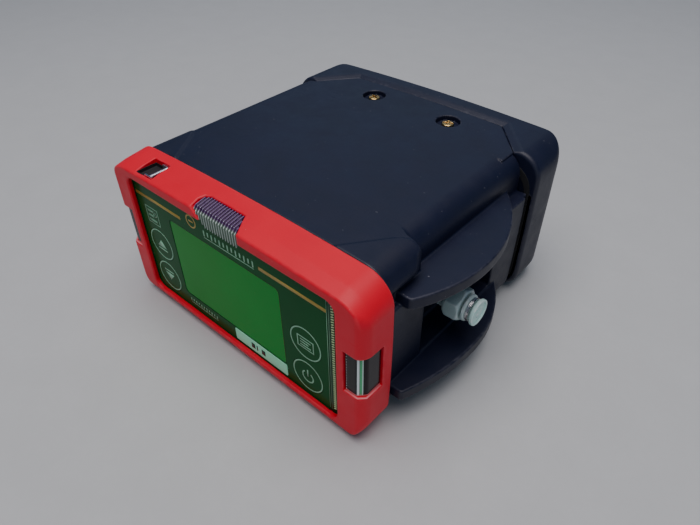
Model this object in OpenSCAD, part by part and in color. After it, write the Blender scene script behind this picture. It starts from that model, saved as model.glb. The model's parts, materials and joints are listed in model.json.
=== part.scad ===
// Portable suction-type gas monitor: a bench and floor instrument with a red front bezel, a dark
// moulded case, two guard fins over the gas inlet on its right-hand side, and a battery unit behind.
// Millimetres. +Z is up, +X is to the right of somebody who reads the display, and +Y runs back.
// The origin is the centre of the whole footprint, with the guard fins and the inlet, on the surface
// that the feet stand on.

/* [Case] */
// Width of the case, without the guard fins
case_w = 154; // [146:1:164]
// Height of the case above the surface it stands on
case_h = 81; // [78:1:86]
// Depth of the case, from the bezel's face to the back
case_d = 152; // [150:1:160]
// Height of the gap under the case, which the feet fill
ground_gap = 2; // [1:0.5:3]
// Wall thickness of the moulded shells
wall = 2.4; // [2:0.1:2.6]
// Radius of the case's long edges
edge_r = 12; // [10:0.5:14]
// Rise of the top face at its middle
top_crown = 2; // [0:0.5:3]
// Swell of the side faces at mid height
side_bow = 0.7; // [0:0.1:1]

/* [Front] */
// Depth of the red bezel
bezel_d = 17.2; // [16:0.2:20]
// Drop of the bezel's top face from its back edge to its front edge
bezel_drop = 3; // [1:0.5:4]
// Chamfer of the bezel's upright front corners
corner_chamfer = 3; // [2:0.5:4]
// Width of the opening around the panel
opening_w = 126.8; // [124:0.2:128]
// Underside of the opening around the panel
opening_lo = 6.9; // [6:0.1:8]
// Top of the opening around the panel
opening_hi = 72.5; // [71:0.1:73]
// How far the panel lies behind the bezel's face
panel_recess = 2.8; // [2.7:0.1:3.2]
// Diameter of the four keys
key_d = 17.6; // [15:0.1:18]
// Travel of a key
key_travel = 0.5; // [0.3:0.1:0.6]

/* [Guard fins] */
// Reach of the fins beyond the middle plane of the case
fin_reach = 87.6; // [84:0.2:90]
// Thickness of a fin
fin_t = 5.6; // [4:0.2:6]
// Height of the upper fin's underside
fin_upper_z = 60; // [58:0.5:61]
// Height of the lower fin's underside
fin_lower_z = 15.4; // [14:0.2:16]

/* [Gas inlet] */
// Distance of the inlet behind the bezel's face
inlet_y = 60; // [58:0.5:64]
// Height of the inlet's axis
inlet_z = 40.5; // [38:0.5:43]
// Width across the flats of the inlet nut
nut_af = 13.8; // [13:0.2:14.4]

/* [Battery unit] */
// Where the rear cover's front edge lies behind the bezel's face
rear_y = 122; // [120:0.5:123]
// Radius of the rear cover's upright corners
rear_r = 15; // [12:0.5:16]
// Distance of each top screw from the middle plane
screw_x = 23.4; // [20:0.2:26]
// Diameter of a battery cell
cell_d = 14.5; // [14:0.1:14.5]
// Length of a battery cell
cell_len = 50.5; // [49:0.5:50.5]

/* [Hidden] */

$fn = 48;
eps = 0.01;

// Colours
red_c = [0.80, 0.10, 0.13];
dark_c = [0.12, 0.14, 0.21];
black_c = [0.05, 0.05, 0.06];
panel_c = [0.03, 0.20, 0.10];
lcd_c = [0.10, 0.43, 0.20];
clear_c = [0.75, 0.90, 0.85, 0.6];
metal_c = [0.72, 0.73, 0.75];
brass_c = [0.72, 0.60, 0.32];
board_c = [0.05, 0.32, 0.18];
label_c = [0.62, 0.85, 0.78];

// Case
half_w = case_w / 2;
z_lo = ground_gap;
shell_back = rear_y - wall;
body_inset = 3;
body_w = case_w - 2 * body_inset;
body_hi = case_h - 0.8;
gasket_t = 0.4;
body_y = bezel_d + gasket_t;

// Front bezel
face_t = panel_recess - 0.2;
window_x = 67.2;
window_y = 11.8;
window_lo = 30.3;
window_hi = 52.3;
notch_y = 9;
notch_lo = 68;
strap_x = [-55.5, -44];
strap_y = [1.9, 12.3];
strap_floor = 74.8;
screw_posts = [[-68.8, 9], [68.8, 9], [-68.8, 72.2], [68.8, 72.2]];
post_r = 4;
bezel_screw_r = 1.5;
post_end = 30;
screw_head_r = 2.4;

// Panel and keys
panel_t = 2;
panel_x = [-65.4, 57.6];
panel_z = [opening_lo - 1, opening_hi + 1];
lcd_x = [-39.3, 32.2];
lcd_z = [15, 59];
key_left_x = -51.8;
key_right_x = 44.9;
key_hi_z = 37.8;
key_lo_z = 18;
key_gap = 0.15;
flange_y = panel_recess + panel_t + 0.1;
flange_t = 0.8;
stem_r = 2.2;
stem_end = 7.4;
dome_y = stem_end + key_travel + 0.05;
board_y = 8.6;
board_t = 1.2;

// Side pocket and inlet
pocket_x = 62;
pocket_y = [41, 97];
pocket_z = [21.5, 59.5];
pocket_wall = 2;
port_r = 5;
neck_r = 3.4;
running = 0.06;
nut_x = [73.4, 82];
thread_end = 78;
flange_x = [83, 84.3];
collar_r = 6.2;
cap_x = [86, 88.6];
cap_r = 6.1;
centre_x = (cap_x[1] - half_w) / 2;

// Gas path
tube_r = 3.4;
stub_r = 2.4;
sensor_at = [22, 75];
chamber_ports = [[35, inlet_y], [5, 66]];
pump_x = -30;
pump_y = 70;
crank_z = 18;
crank_throw = 1.4;

// Rear cover and battery unit
cover_y = rear_y + 0.6;
cover_hi = case_h;
tongue_z = 75.8;
tongue_y = 140.5;
screw_y = 126.7;
head_z = 77.4;
roof_z = 73;
cell_y = 138.4;
cell_rows = [32.5, 50.5];
cell_gap = 3;
holder_x = 57.4;
holder_z = [23, 60];
door_x = [-59.6, 57];
door_z = [21.6, 62.4];
hinge_x = -59.6;
hinge_y = case_d - 2.8;
pin_r = 1.2;
barrel_r = 1.9;

// Shoulder over the upper fin
shoulder_x = 67.5;
shoulder_r = 10;
shoulder_y = [41, 124];
shoulder_front = [19.6, 70.5];
bumper_low = 69;
bumper_w = case_w - 5;

// Front edge, width at the front, reach and rear radius of the guard fins
upper_fin = [25.5, 77.4, fin_reach, 70.4];
lower_fin = [19.5, 80.5, cap_x[1], 63];

// Puts a piece drawn from the bezel's face, at Y = 0, into the part's frame.
module in_frame() {
    translate([-centre_x, -case_d / 2, 0])
        children();
}

// A box between two corners.
module block(low, high) {
    translate(low)
        cube(high - low);
}

// Extrudes an outline drawn in X and Z from y0 to y1.
module along_y(y0, y1) {
    translate([0, y1, 0])
        rotate([90, 0, 0])
            linear_extrude(y1 - y0)
                children();
}

// Extrudes an outline drawn in Y and Z from x0 to x1.
module along_x(x0, x1) {
    translate([x0, 0, 0])
        rotate([90, 0, 90])
            linear_extrude(x1 - x0)
                children();
}

// Extrudes an outline drawn in X and Y from z0 to z1.
module along_z(z0, z1) {
    translate([0, 0, z0])
        linear_extrude(z1 - z0)
            children();
}

// A cylinder along Y, with its first end at the point given.
module rod_y(at, r, len) {
    translate(at)
        rotate([-90, 0, 0])
            cylinder(r = r, h = len);
}

// A cylinder along X, with its first end at the point given.
module rod_x(at, r, len) {
    translate(at)
        rotate([0, 90, 0])
            cylinder(r = r, h = len);
}

// A cylinder along Z, with its first end at the point given.
module rod_z(at, r, len) {
    translate(at)
        cylinder(r = r, h = len);
}

// Points of an arc about c.
function arc(c, r, a0, a1, steps) =
    [for (i = [0:steps]) c + r * [cos(a0 + (a1 - a0) * i / steps), sin(a0 + (a1 - a0) * i / steps)]];

// Bends a rectangle's points, so that the top rises at its middle and the sides swell.
function swelled(p, w, z0, z1) =
    let (
        mid = (z0 + z1) / 2,
        half = (z1 - z0) / 2,
        up = (p.y - mid) / half,
        out = p.x / (w / 2)
    )
    [p.x - side_bow * out * up * up, p.y - top_crown * out * out * max(up, 0)];

// The case's cross-section in X and Z: rounded corners, a crowned top and swelled sides.
module section(w, z0, z1, r) {
    steps = 6;
    top_steps = 8;
    side_steps = 4;
    xc = w / 2 - r;
    top = [for (i = [1:top_steps - 1]) [xc - 2 * xc * i / top_steps, z1]];
    rise = z1 - z0 - 2 * r;
    left = [for (i = [1:side_steps - 1]) [-w / 2, z1 - r - rise * i / side_steps]];
    right = [for (i = [1:side_steps - 1]) [w / 2, z0 + r + rise * i / side_steps]];
    points = concat(
        arc([xc, z1 - r], r, 0, 90, steps),
        top,
        arc([-xc, z1 - r], r, 90, 180, steps),
        left,
        arc([-xc, z0 + r], r, 180, 270, steps),
        arc([xc, z0 + r], r, 270, 360, steps),
        right
    );
    polygon([for (p = points) swelled(p, w, z0, z1)]);
}

// A rectangle with rounded corners, between two corners.
module rounded_rect(low, high, r) {
    steps = 4;
    polygon(concat(
        arc([high.x - r, high.y - r], r, 0, 90, steps),
        arc([low.x + r, high.y - r], r, 90, 180, steps),
        arc([low.x + r, low.y + r], r, 180, 270, steps),
        arc([high.x - r, low.y + r], r, 270, 360, steps)
    ));
}

// The bezel's outline from above, drawn in by inset.
module bezel_plan(inset) {
    w = half_w - inset;
    c = corner_chamfer;
    polygon([
        [-w, bezel_d + 1], [-w, inset + c], [-w + c, inset],
        [w - c, inset], [w, inset + c], [w, bezel_d + 1]
    ]);
}

// The bezel's outline from the side, drawn in by inset.
module bezel_side(inset) {
    low = z_lo + 0.6 + inset;
    foot = inset > 0 ? 0.2 : 1.6;
    polygon([
        [inset, low + foot],
        [inset + foot, low],
        [bezel_d + 1, low],
        [bezel_d + 1, case_h - inset + 0.2],
        [inset, case_h - bezel_drop - inset]
    ]);
}

// The bezel's outer form, or its hollow when inset is the wall.
module bezel_form(inset, y0) {
    intersection() {
        along_y(y0, bezel_d + (inset > 0 ? eps : 0))
            section(case_w - 2 * inset, z_lo + 0.4 + inset, case_h - inset, edge_r - inset);
        along_z(0, case_h + 1)
            bezel_plan(inset);
        along_x(-case_w, case_w)
            bezel_side(inset);
    }
}

// The plan of the top lamp's notch: its left end is round, and its right end slants.
module notch_plan(gap) {
    r = 4;
    polygon(concat(
        [[13.4 - gap, -1], [13.4 - gap, 1], [9.2 - gap, notch_y - gap]],
        arc([-15 + gap + r, notch_y - gap - r], r, 90, 180, 5),
        [[-13.8 + gap, -1]]
    ));
}

module front_bezel() {
    color(red_c) in_frame() difference() {
        union() {
            difference() {
                bezel_form(0, 0);
                bezel_form(wall, face_t);
            }
            intersection() {
                block(
                    [strap_x[0] - 1.2, 1, strap_floor - 1],
                    [strap_x[1] + 1.2, strap_y[1] + 1.2, case_h]
                );
                bezel_form(0, 0);
            }
            for (p = screw_posts)
                rod_y([p.x, face_t + 2.6, p.y], post_r, bezel_d - face_t - 2.6);
        }
        along_y(-1, face_t + 1)
            rounded_rect([-opening_w / 2, opening_lo], [opening_w / 2, opening_hi], 4.5);
        for (side = [-1, 1])
            block(
                [side > 0 ? window_x : -case_w, -1, window_lo],
                [side > 0 ? case_w : -window_x, window_y, window_hi]
            );
        along_z(notch_lo, case_h + 1)
            notch_plan(0);
        block([strap_x[0], strap_y[0], strap_floor], [strap_x[1], strap_y[1], case_h + 1]);
        for (p = screw_posts)
            rod_y([p.x, 7, p.y], bezel_screw_r + 0.05, bezel_d);
    }
}

module bezel_gasket() {
    color(black_c) in_frame() difference() {
        along_y(bezel_d, body_y)
            section(case_w - 0.8, z_lo + 0.4, case_h - 0.4, edge_r);
        along_y(bezel_d - 1, body_y + 1)
            section(body_w - 2 * wall - 1, z_lo + 4, body_hi - wall - 1, edge_r - wall);
        for (p = screw_posts)
            rod_y([p.x, bezel_d - 1, p.y], bezel_screw_r + 0.2, 3);
    }
}

module bezel_screws() {
    color(metal_c) in_frame() for (p = screw_posts) {
        rod_y([p.x, 7.5, p.y], bezel_screw_r, post_end - 7.5 + eps);
        rod_y([p.x, post_end, p.y], screw_head_r, 2);
    }
}

module strap_bracket() {
    lug = 0.8;
    color(metal_c) in_frame() difference() {
        union() {
            block(
                [strap_x[0] + 0.3, strap_y[0] + 0.1, strap_floor],
                [strap_x[1] - 0.2, strap_y[1] - 0.1, strap_floor + 0.6]
            );
            block(
                [strap_x[1] - 5.2, strap_y[0] + 0.1, strap_floor],
                [strap_x[1] - 0.2, strap_y[0] + 0.1 + lug, 78.2]
            );
            block(
                [strap_x[1] - 5.2, strap_y[1] - 0.1 - lug, strap_floor],
                [strap_x[1] - 0.2, strap_y[1] - 0.1, 78.6]
            );
        }
        rod_y([strap_x[1] - 2.7, 0, 77], 1.02, 20);
    }
}

module strap_pin() {
    color(metal_c) in_frame()
        rod_y([strap_x[1] - 2.7, strap_y[0] + 0.2, 77], 1, strap_y[1] - strap_y[0] - 0.4);
}

module front_panel() {
    color(panel_c) in_frame() difference() {
        along_y(panel_recess, panel_recess + panel_t)
            rounded_rect([panel_x[0], panel_z[0]], [panel_x[1], panel_z[1]], 2);
        along_y(panel_recess - 1, panel_recess + panel_t + 1)
            rounded_rect([lcd_x[0], lcd_z[0]], [lcd_x[1], lcd_z[1]], 2.5);
        for (x = [key_left_x, key_right_x], z = [key_lo_z, key_hi_z])
            rod_y([x, panel_recess - 1, z], key_d / 2 + key_gap, panel_t + 2);
    }
}

module label_strip() {
    color(label_c) in_frame()
        along_y(panel_recess - 0.25, panel_recess)
            rounded_rect([-2.2, 8], [32.2, 14.9], 0.6);
}

module side_diffuser() {
    pitch = 1.6;
    ribs = floor((panel_z[1] - panel_z[0] - 4) / pitch);
    color(clear_c) in_frame() difference() {
        along_y(panel_recess, panel_recess + panel_t)
            rounded_rect([panel_x[1] + 0.2, panel_z[0]], [66, panel_z[1]], 1.5);
        for (i = [0:ribs])
            block(
                [panel_x[1] + 2, panel_recess - 1, panel_z[0] + 2 + pitch * i],
                [64.5, panel_recess + 0.5, panel_z[0] + 2 + pitch * (i + 0.5)]
            );
    }
}

module lcd_window() {
    gap = 0.1;
    color(lcd_c) in_frame()
        along_y(panel_recess + 0.1, panel_recess + panel_t)
            rounded_rect([lcd_x[0] + gap, lcd_z[0] + gap], [lcd_x[1] - gap, lcd_z[1] - gap], 2.4);
}

module lcd_module() {
    color([0.75, 0.78, 0.76]) in_frame() difference() {
        block([lcd_x[0] - 2, panel_recess + panel_t + 0.2, 12], [lcd_x[1] + 2.4, 11, 62]);
        block([lcd_x[0], panel_recess, lcd_z[0]], [lcd_x[1], 6, lcd_z[1]]);
    }
}

module lamp_lens_top() {
    color(clear_c) in_frame() difference() {
        intersection() {
            along_z(70.4, case_h)
                notch_plan(0.2);
            along_x(-20, 20)
                polygon([
                    [0.9, 70.4], [0.9, 76.4], [1.8, 77.3], [notch_y, 79],
                    [notch_y, 76.8], [2.7, 75.4], [2.7, 70.4]
                ]);
        }
        for (i = [-7:6])
            block([1.6 * i, -1, 70], [1.6 * i + 0.7, 1.3, 76]);
    }
}

// A corner lamp lens, drawn for the right-hand corner: it follows the bezel's face, chamfer and side.
module corner_lens() {
    gap = 0.15;
    out = 1.2;
    t = 1.6;
    xo = half_w - out;
    c = corner_chamfer;
    along_z(window_lo + gap, window_hi - gap)
        polygon([
            [window_x + gap, out], [xo - c, out], [xo, out + c], [xo, window_y - gap],
            [xo - t, window_y - gap], [xo - t, out + c + 0.7],
            [xo - c - 0.7, out + t], [window_x + gap, out + t]
        ]);
    along_z(window_lo - 1.8, window_hi + 1.8)
        polygon([
            [66.4, face_t + 0.1], [xo - c - 1.5, face_t + 0.1],
            [xo - 1.6, face_t + c], [xo - 1.6, window_y + 2],
            [xo - 2.8, window_y + 2], [xo - 2.8, face_t + c + 0.5],
            [xo - c - 2.1, face_t + 1.2], [66.4, face_t + 1.2]
        ]);
}

module lamp_lens_right() {
    color(clear_c) in_frame()
        corner_lens();
}

module lamp_lens_left() {
    color(clear_c) in_frame()
        mirror([1, 0, 0])
            corner_lens();
}

// A light guide: a clear upright rod behind a corner lens.
module light_guide(side) {
    in_frame()
        rod_z([side * 70, 7, 28.6], 1.5, 25.4);
}

module light_guide_left() {
    color(clear_c)
        light_guide(-1);
}

module light_guide_right() {
    color(clear_c)
        light_guide(1);
}

module alarm_leds() {
    color("white") in_frame() {
        block([-72, 9.2, 36], [-67.5, 11, 46]);
        block([67.5, 9.2, 36], [72, 11, 46]);
        block([-5, 5.2, 73], [5, 7, 75.6]);
    }
}

// A key: a disc flush with the panel, a flange that stops it behind the panel, and a stem.
module key_at(x, z) {
    in_frame() {
        rod_y([x, panel_recess, z], key_d / 2, flange_y - panel_recess + eps);
        rod_y([x, flange_y, z], key_d / 2 + 0.8, flange_t);
        rod_y([x, flange_y + flange_t - eps, z], stem_r, stem_end - flange_y - flange_t + eps);
    }
}

module key_up() {
    color(panel_c)
        key_at(key_left_x, key_hi_z);
}

module key_down() {
    color(panel_c)
        key_at(key_left_x, key_lo_z);
}

module key_display() {
    color(panel_c)
        key_at(key_right_x, key_hi_z);
}

module key_power() {
    color(panel_c)
        key_at(key_right_x, key_lo_z);
}

module key_boards() {
    color(board_c) in_frame() {
        block([-59.6, board_y, 8], [-43, board_y + board_t, 49]);
        block([35.6, board_y, 8], [56, board_y + board_t, 49]);
    }
}

module key_domes() {
    color(metal_c) in_frame()
        for (x = [key_left_x, key_right_x], z = [key_lo_z, key_hi_z])
            rod_y([x, dome_y, z], 3.4, board_y - dome_y);
}

// The plan of a guard fin: a square front end, then two arcs that run back into the case.
module fin_plan(size) {
    front = size[0];
    back = 112;
    mid = 62;
    reach = size[2];
    half_chord = mid - front;
    sag = reach - size[1];
    r = (half_chord * half_chord + sag * sag) / (2 * sag);
    steps = 14;
    rear_r = size[3];
    polygon(concat(
        [[64, back], [64, front]],
        arc([reach - r, mid], r, -asin(half_chord / r), 0, steps),
        arc([reach - rear_r, mid], rear_r, 0, asin((back - mid) / rear_r), steps)
    ));
}

// The plan of the front corner bumper, drawn for the right-hand corner.
module bumper_plan() {
    polygon([[48, body_y], [56, 29], [61, 36], [66, 40], [half_w + 1, 40], [half_w + 1, body_y]]);
}

// The plan of the top plate that lies over the battery unit, drawn out by gap.
module tongue_plan(gap) {
    polygon([
        [-62 - gap, shell_back], [-62 - gap, rear_y + gap], [-45.5 - gap / 2, tongue_y + gap],
        [45.5 + gap / 2, tongue_y + gap], [62 + gap, rear_y + gap], [62 + gap, shell_back]
    ]);
}

// The section of the space over the upper fin, where the case's shoulder is drawn in.
module shoulder_space(inset) {
    low = fin_upper_z + fin_t - inset;
    corner = [shoulder_x - shoulder_r, body_hi - shoulder_r];
    polygon(concat(
        [[half_w + 2, low], [shoulder_x - inset, low]],
        arc(corner, shoulder_r - inset, 0, 90, 8),
        [[corner.x, case_h + 2], [half_w + 2, case_h + 2]]
    ));
}

module housing_outside() {
    along_y(body_y, rear_y)
        section(body_w, z_lo, body_hi, edge_r - 1);
    for (side = [0, 1])
        mirror([side, 0, 0])
            intersection() {
                along_y(body_y, rear_y)
                    section(bumper_w, z_lo, case_h - 0.3, edge_r);
                along_z(bumper_low, case_h)
                    bumper_plan();
            }
    along_z(fin_upper_z, fin_upper_z + fin_t)
        fin_plan(upper_fin);
    along_z(fin_lower_z, fin_lower_z + fin_t)
        fin_plan(lower_fin);
    intersection() {
        along_z(tongue_z, case_h)
            tongue_plan(0);
        along_y(shell_back, tongue_y + 1)
            section(body_w, z_lo, body_hi, edge_r - 1);
    }
}

// The walls that stand inside the housing: the shoulder's, the pocket's box and the screw posts.
module housing_inside() {
    intersection() {
        along_y(shoulder_y[0] - wall, shell_back + eps)
            shoulder_space(wall);
        along_y(body_y, shell_back + eps)
            section(body_w - 1, z_lo + 0.5, body_hi - 0.5, edge_r - 1.5);
    }
    block(
        [shoulder_front[1] - wall, body_y, fin_upper_z + fin_t - wall],
        [body_w / 2 - 1, shoulder_y[0] + 1, bumper_low + wall]
    );
    block(
        [pocket_x - pocket_wall, pocket_y[0] - pocket_wall, pocket_z[0] - pocket_wall],
        [body_w / 2 - 1, pocket_y[1] + pocket_wall, pocket_z[1] + pocket_wall]
    );
    for (p = screw_posts)
        rod_y([p.x, body_y, p.y], post_r, post_end - body_y);
}

module main_housing() {
    color(dark_c) in_frame() difference() {
        union() {
            difference() {
                housing_outside();
                along_y(body_y - 1, shell_back)
                    section(body_w - 2 * wall, z_lo + wall, body_hi - wall, edge_r - 1 - wall);
            }
            housing_inside();
        }
        along_y(shoulder_y[0], shoulder_y[1])
            shoulder_space(0);
        block(
            [shoulder_front[1], shoulder_front[0], fin_upper_z + fin_t],
            [half_w + 2, shoulder_y[0] + 1, bumper_low]
        );
        block(
            [pocket_x, pocket_y[0], pocket_z[0]],
            [half_w + 20, pocket_y[1], pocket_z[1]]
        );
        rod_x([pocket_x - 5, inlet_y, inlet_z], port_r + 0.1, 10);
        rod_x([-half_w, inlet_y, inlet_z], port_r + 0.1, 10);
        for (p = screw_posts) {
            rod_y([p.x, body_y - 1, p.y], bezel_screw_r + 0.2, 20);
            rod_y([p.x, post_end, p.y], screw_head_r + 0.1, 4);
        }
        for (x = [-1, 1], y = [32, 108])
            rod_z([x * 58, y, z_lo - 1], 6.1, 1.6);
        for (x = [-1, 1]) {
            rod_z([x * screw_x, screw_y, head_z], 6, 10);
            rod_z([x * screw_x, screw_y, tongue_z - 1], 2.2, 10);
        }
        rod_y([-40, shell_back - 1, 40], 3, 10);
    }
}

module feet() {
    color(black_c) in_frame()
        for (x = [-1, 1], y = [32, 108])
            rod_z([x * 58, y, 0], 6, z_lo + 0.5);
}

module main_board() {
    color(board_c) in_frame() difference() {
        block([-56, 22, 12], [56, 23.6, 70]);
        for (x = [-50, 50], z = [18, 64])
            rod_y([x, 20, z], 1.6, 6);
    }
}

module board_pillars() {
    color(brass_c) in_frame()
        for (x = [-50, 50], z = [18, 64]) {
            rod_y([x, 11.4, z], 2.6, 22 - 11.4);
            rod_y([x, 23.6, z], 2.6, 2);
            rod_y([x, 22, z], 1.55, 1.6);
        }
}

module buzzer() {
    color(black_c) in_frame() difference() {
        rod_y([-20, 23.8, 58], 7, 7);
        rod_y([-20, 29, 58], 1.2, 3);
    }
}

module inlet_body() {
    color(clear_c) in_frame() difference() {
        union() {
            rod_x([48, inlet_y, inlet_z], stub_r, 10);
            rod_x([57, inlet_y, inlet_z], 7.5, pocket_x - pocket_wall - 57 - 0.05);
            rod_x([57, inlet_y, inlet_z], port_r, thread_end - 57);
        }
        rod_x([47, inlet_y, inlet_z], 1.4, 40);
        rod_x([64, inlet_y, inlet_z], 2.6, 20);
    }
}

module inlet_o_ring() {
    color(black_c) in_frame()
        translate([pocket_x + 0.8, inlet_y, inlet_z])
            rotate([0, 90, 0])
                rotate_extrude()
                    translate([port_r + 0.9, 0])
                        circle(r = 0.75);
}

// A union nut, which clamps the connector's shoulder against the end of the inlet body.
module inlet_nut() {
    corner_r = nut_af / 2 / cos(30);
    color(clear_c) in_frame() difference() {
        translate([nut_x[0], inlet_y, inlet_z])
            rotate([0, 90, 0])
                cylinder(r = corner_r, h = nut_x[1] - nut_x[0], $fn = 6);
        rod_x([nut_x[0] - 1, inlet_y, inlet_z], port_r + running, thread_end + 3.1 - nut_x[0]);
        rod_x([nut_x[0] - 1, inlet_y, inlet_z], neck_r + 0.2 + running, 20);
    }
}

module inlet_connector() {
    color(clear_c) in_frame() difference() {
        union() {
            rod_x([thread_end + 0.05, inlet_y, inlet_z], port_r - 0.1, 1.95);
            rod_x([thread_end + 0.05, inlet_y, inlet_z], neck_r + 0.2, flange_x[0] - thread_end);
            rod_x([flange_x[0], inlet_y, inlet_z], collar_r, flange_x[1] - flange_x[0]);
            rod_x([flange_x[0], inlet_y, inlet_z], neck_r, cap_x[1] - 1.1 - flange_x[0]);
        }
        rod_x([thread_end - 1, inlet_y, inlet_z], 1.8, 20);
    }
}

module inlet_ring() {
    gap = 0.05;
    color(metal_c) in_frame() difference() {
        rod_x([flange_x[1] + gap, inlet_y, inlet_z], 5.2, cap_x[0] - flange_x[1] - 2 * gap);
        rod_x([flange_x[1] - 1, inlet_y, inlet_z], neck_r + 0.02, 3);
    }
}

module inlet_cap() {
    color(clear_c) in_frame() difference() {
        rod_x([cap_x[0], inlet_y, inlet_z], cap_r, cap_x[1] - cap_x[0]);
        rod_x([cap_x[0] - 1, inlet_y, inlet_z], neck_r + running, cap_x[1] - cap_x[0]);
    }
}

module inlet_filter() {
    color("white") in_frame()
        rod_x([64.2, inlet_y, inlet_z], 2.5, 12);
}

module outlet_body() {
    color(clear_c) in_frame() difference() {
        union() {
            rod_x([-70, inlet_y, inlet_z], stub_r, 10);
            rod_x([-body_w / 2 + wall + 0.1, inlet_y, inlet_z], 7.5, 2);
            rod_x([-76.9, inlet_y, inlet_z], port_r, 8.4);
        }
        rod_x([-90, inlet_y, inlet_z], 1.4, 50);
    }
}

module outlet_nut() {
    color(clear_c) in_frame() difference() {
        translate([-76.9, inlet_y, inlet_z])
            rotate([0, 90, 0])
                cylinder(r = 9, h = 2.8, $fn = 6);
        rod_x([-90, inlet_y, inlet_z], port_r + running, 30);
    }
}

module sensor_chamber() {
    color([0.85, 0.85, 0.82]) in_frame() difference() {
        union() {
            block([0, 54, z_lo + wall + 0.1], [40, 92, 24]);
            for (p = chamber_ports)
                rod_z([p.x, p.y, 24 - eps], stub_r, 7);
        }
        rod_z([sensor_at.x, sensor_at.y, 10], 13.2, 20);
        for (p = chamber_ports) {
            rod_z([p.x, p.y, 14], 1.4, 20);
            translate([p.x, p.y, 15])
                rotate([0, 90, atan2(sensor_at.y - p.y, sensor_at.x - p.x)])
                    cylinder(r = 1.4, h = 8);
        }
    }
}

module gas_sensor() {
    color("ivory") in_frame() {
        rod_z([sensor_at.x, sensor_at.y, 13], 12.9, 18);
        for (a = [30, 150, 270])
            rod_z([sensor_at.x + 8 * cos(a), sensor_at.y + 8 * sin(a), 31 - eps], 0.8, 5);
    }
}

module sensor_seal() {
    color(black_c) in_frame() difference() {
        rod_z([sensor_at.x, sensor_at.y, 10.1], 13, 2.8);
        rod_z([sensor_at.x, sensor_at.y, 9], 10, 6);
    }
}

// Diaphragm pump: the motor's shaft turns an eccentric inside the yoke under the diaphragm.
module pump_body() {
    color([0.2, 0.2, 0.22]) in_frame() difference() {
        union() {
            block([-48, 60, z_lo + wall + 0.1], [-12, 80, 32]);
            rod_z([pump_x, pump_y, 32 - eps], 12, 8);
            rod_x([-22, 66, 36], stub_r, 18);
            rod_z([-38, pump_y, 40 - eps], stub_r, 7);
        }
        rod_y([pump_x, 59, crank_z], 8.2, 22);
        rod_z([pump_x, pump_y, 20], 8, 13.2);
        rod_z([pump_x, pump_y, 32], 10.3, 3.2);
        rod_x([-24, 66, 36], 1.4, 24);
        rod_z([-38, pump_y, 34], 1.4, 16);
    }
}

module pump_motor() {
    color(metal_c) in_frame() difference() {
        rod_y([pump_x, 80.1, crank_z], 12, 26);
        rod_y([pump_x, 79, crank_z], 1 + running, 30);
    }
}

module pump_crank() {
    color(brass_c) in_frame() {
        rod_y([pump_x, 64, crank_z], 1, 41);
        rod_y([pump_x + crank_throw, 66.5, crank_z], 4.4, 7);
    }
}

module pump_diaphragm() {
    color(black_c) in_frame() {
        rod_z([pump_x, pump_y, 32.1], 10.2, 1);
        difference() {
            union() {
                rod_y([pump_x, 67, crank_z], 7.8, 6);
                block([pump_x - 3, pump_y - 2, crank_z + 6.5], [pump_x + 3, pump_y + 2, 32.6]);
            }
            rod_y([pump_x, 60, crank_z], 4.4 + crank_throw + 0.3, 20);
        }
    }
}

// A chain of round bars through the points given.
module bar_run(points, r) {
    for (i = [0:len(points) - 2]) {
        d = points[i + 1] - points[i];
        run = norm(d);
        translate(points[i])
            rotate([0, acos(d.z / run), atan2(d.y, d.x)])
                cylinder(r = r, h = run, $fn = 24);
        if (i > 0)
            translate(points[i])
                sphere(r = r, $fn = 24);
    }
}

// A flexible tube, pushed over the stubs at its two ends.
module tube_run(points) {
    last = len(points) - 1;
    bore_points = [for (i = [0:last])
        i == 0 ? points[0] - (points[1] - points[0]) * 0.2
            : i == last ? points[last] + (points[last] - points[last - 1]) * 0.2
            : points[i]];
    difference() {
        bar_run(points, tube_r);
        bar_run(bore_points, stub_r + 0.03);
    }
}

module inlet_tube() {
    color(clear_c) in_frame()
        tube_run([[54, inlet_y, inlet_z], [35, inlet_y, inlet_z], [35, inlet_y, 25]]);
}

module transfer_tube() {
    color(clear_c) in_frame()
        tube_run([[-12, 66, 36], [5, 66, 36], [5, 66, 25]]);
}

module outlet_tube() {
    color(clear_c) in_frame()
        tube_run([
            [-68, inlet_y, inlet_z], [-53, inlet_y, inlet_z], [-53, inlet_y, 56],
            [-38, pump_y, 56], [-38, pump_y, 42]
        ]);
}

// The plan of the rear cover: its two upright rear corners are round.
module rear_plan(inset) {
    w = half_w + 1 - inset;
    back = case_d - inset;
    r = rear_r - inset;
    polygon(concat(
        [[w, cover_y - 2]],
        arc([half_w - inset - r, back - r], r, 0, 90, 8),
        arc([-half_w + inset + r, back - r], r, 90, 180, 8),
        [[-w, cover_y - 2]]
    ));
}

module rear_form(inset, y0, hi) {
    intersection() {
        along_y(y0, case_d)
            section(case_w - 2 * inset, z_lo + inset, cover_hi - inset, edge_r - inset);
        along_z(0, hi)
            rear_plan(inset);
    }
}

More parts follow.
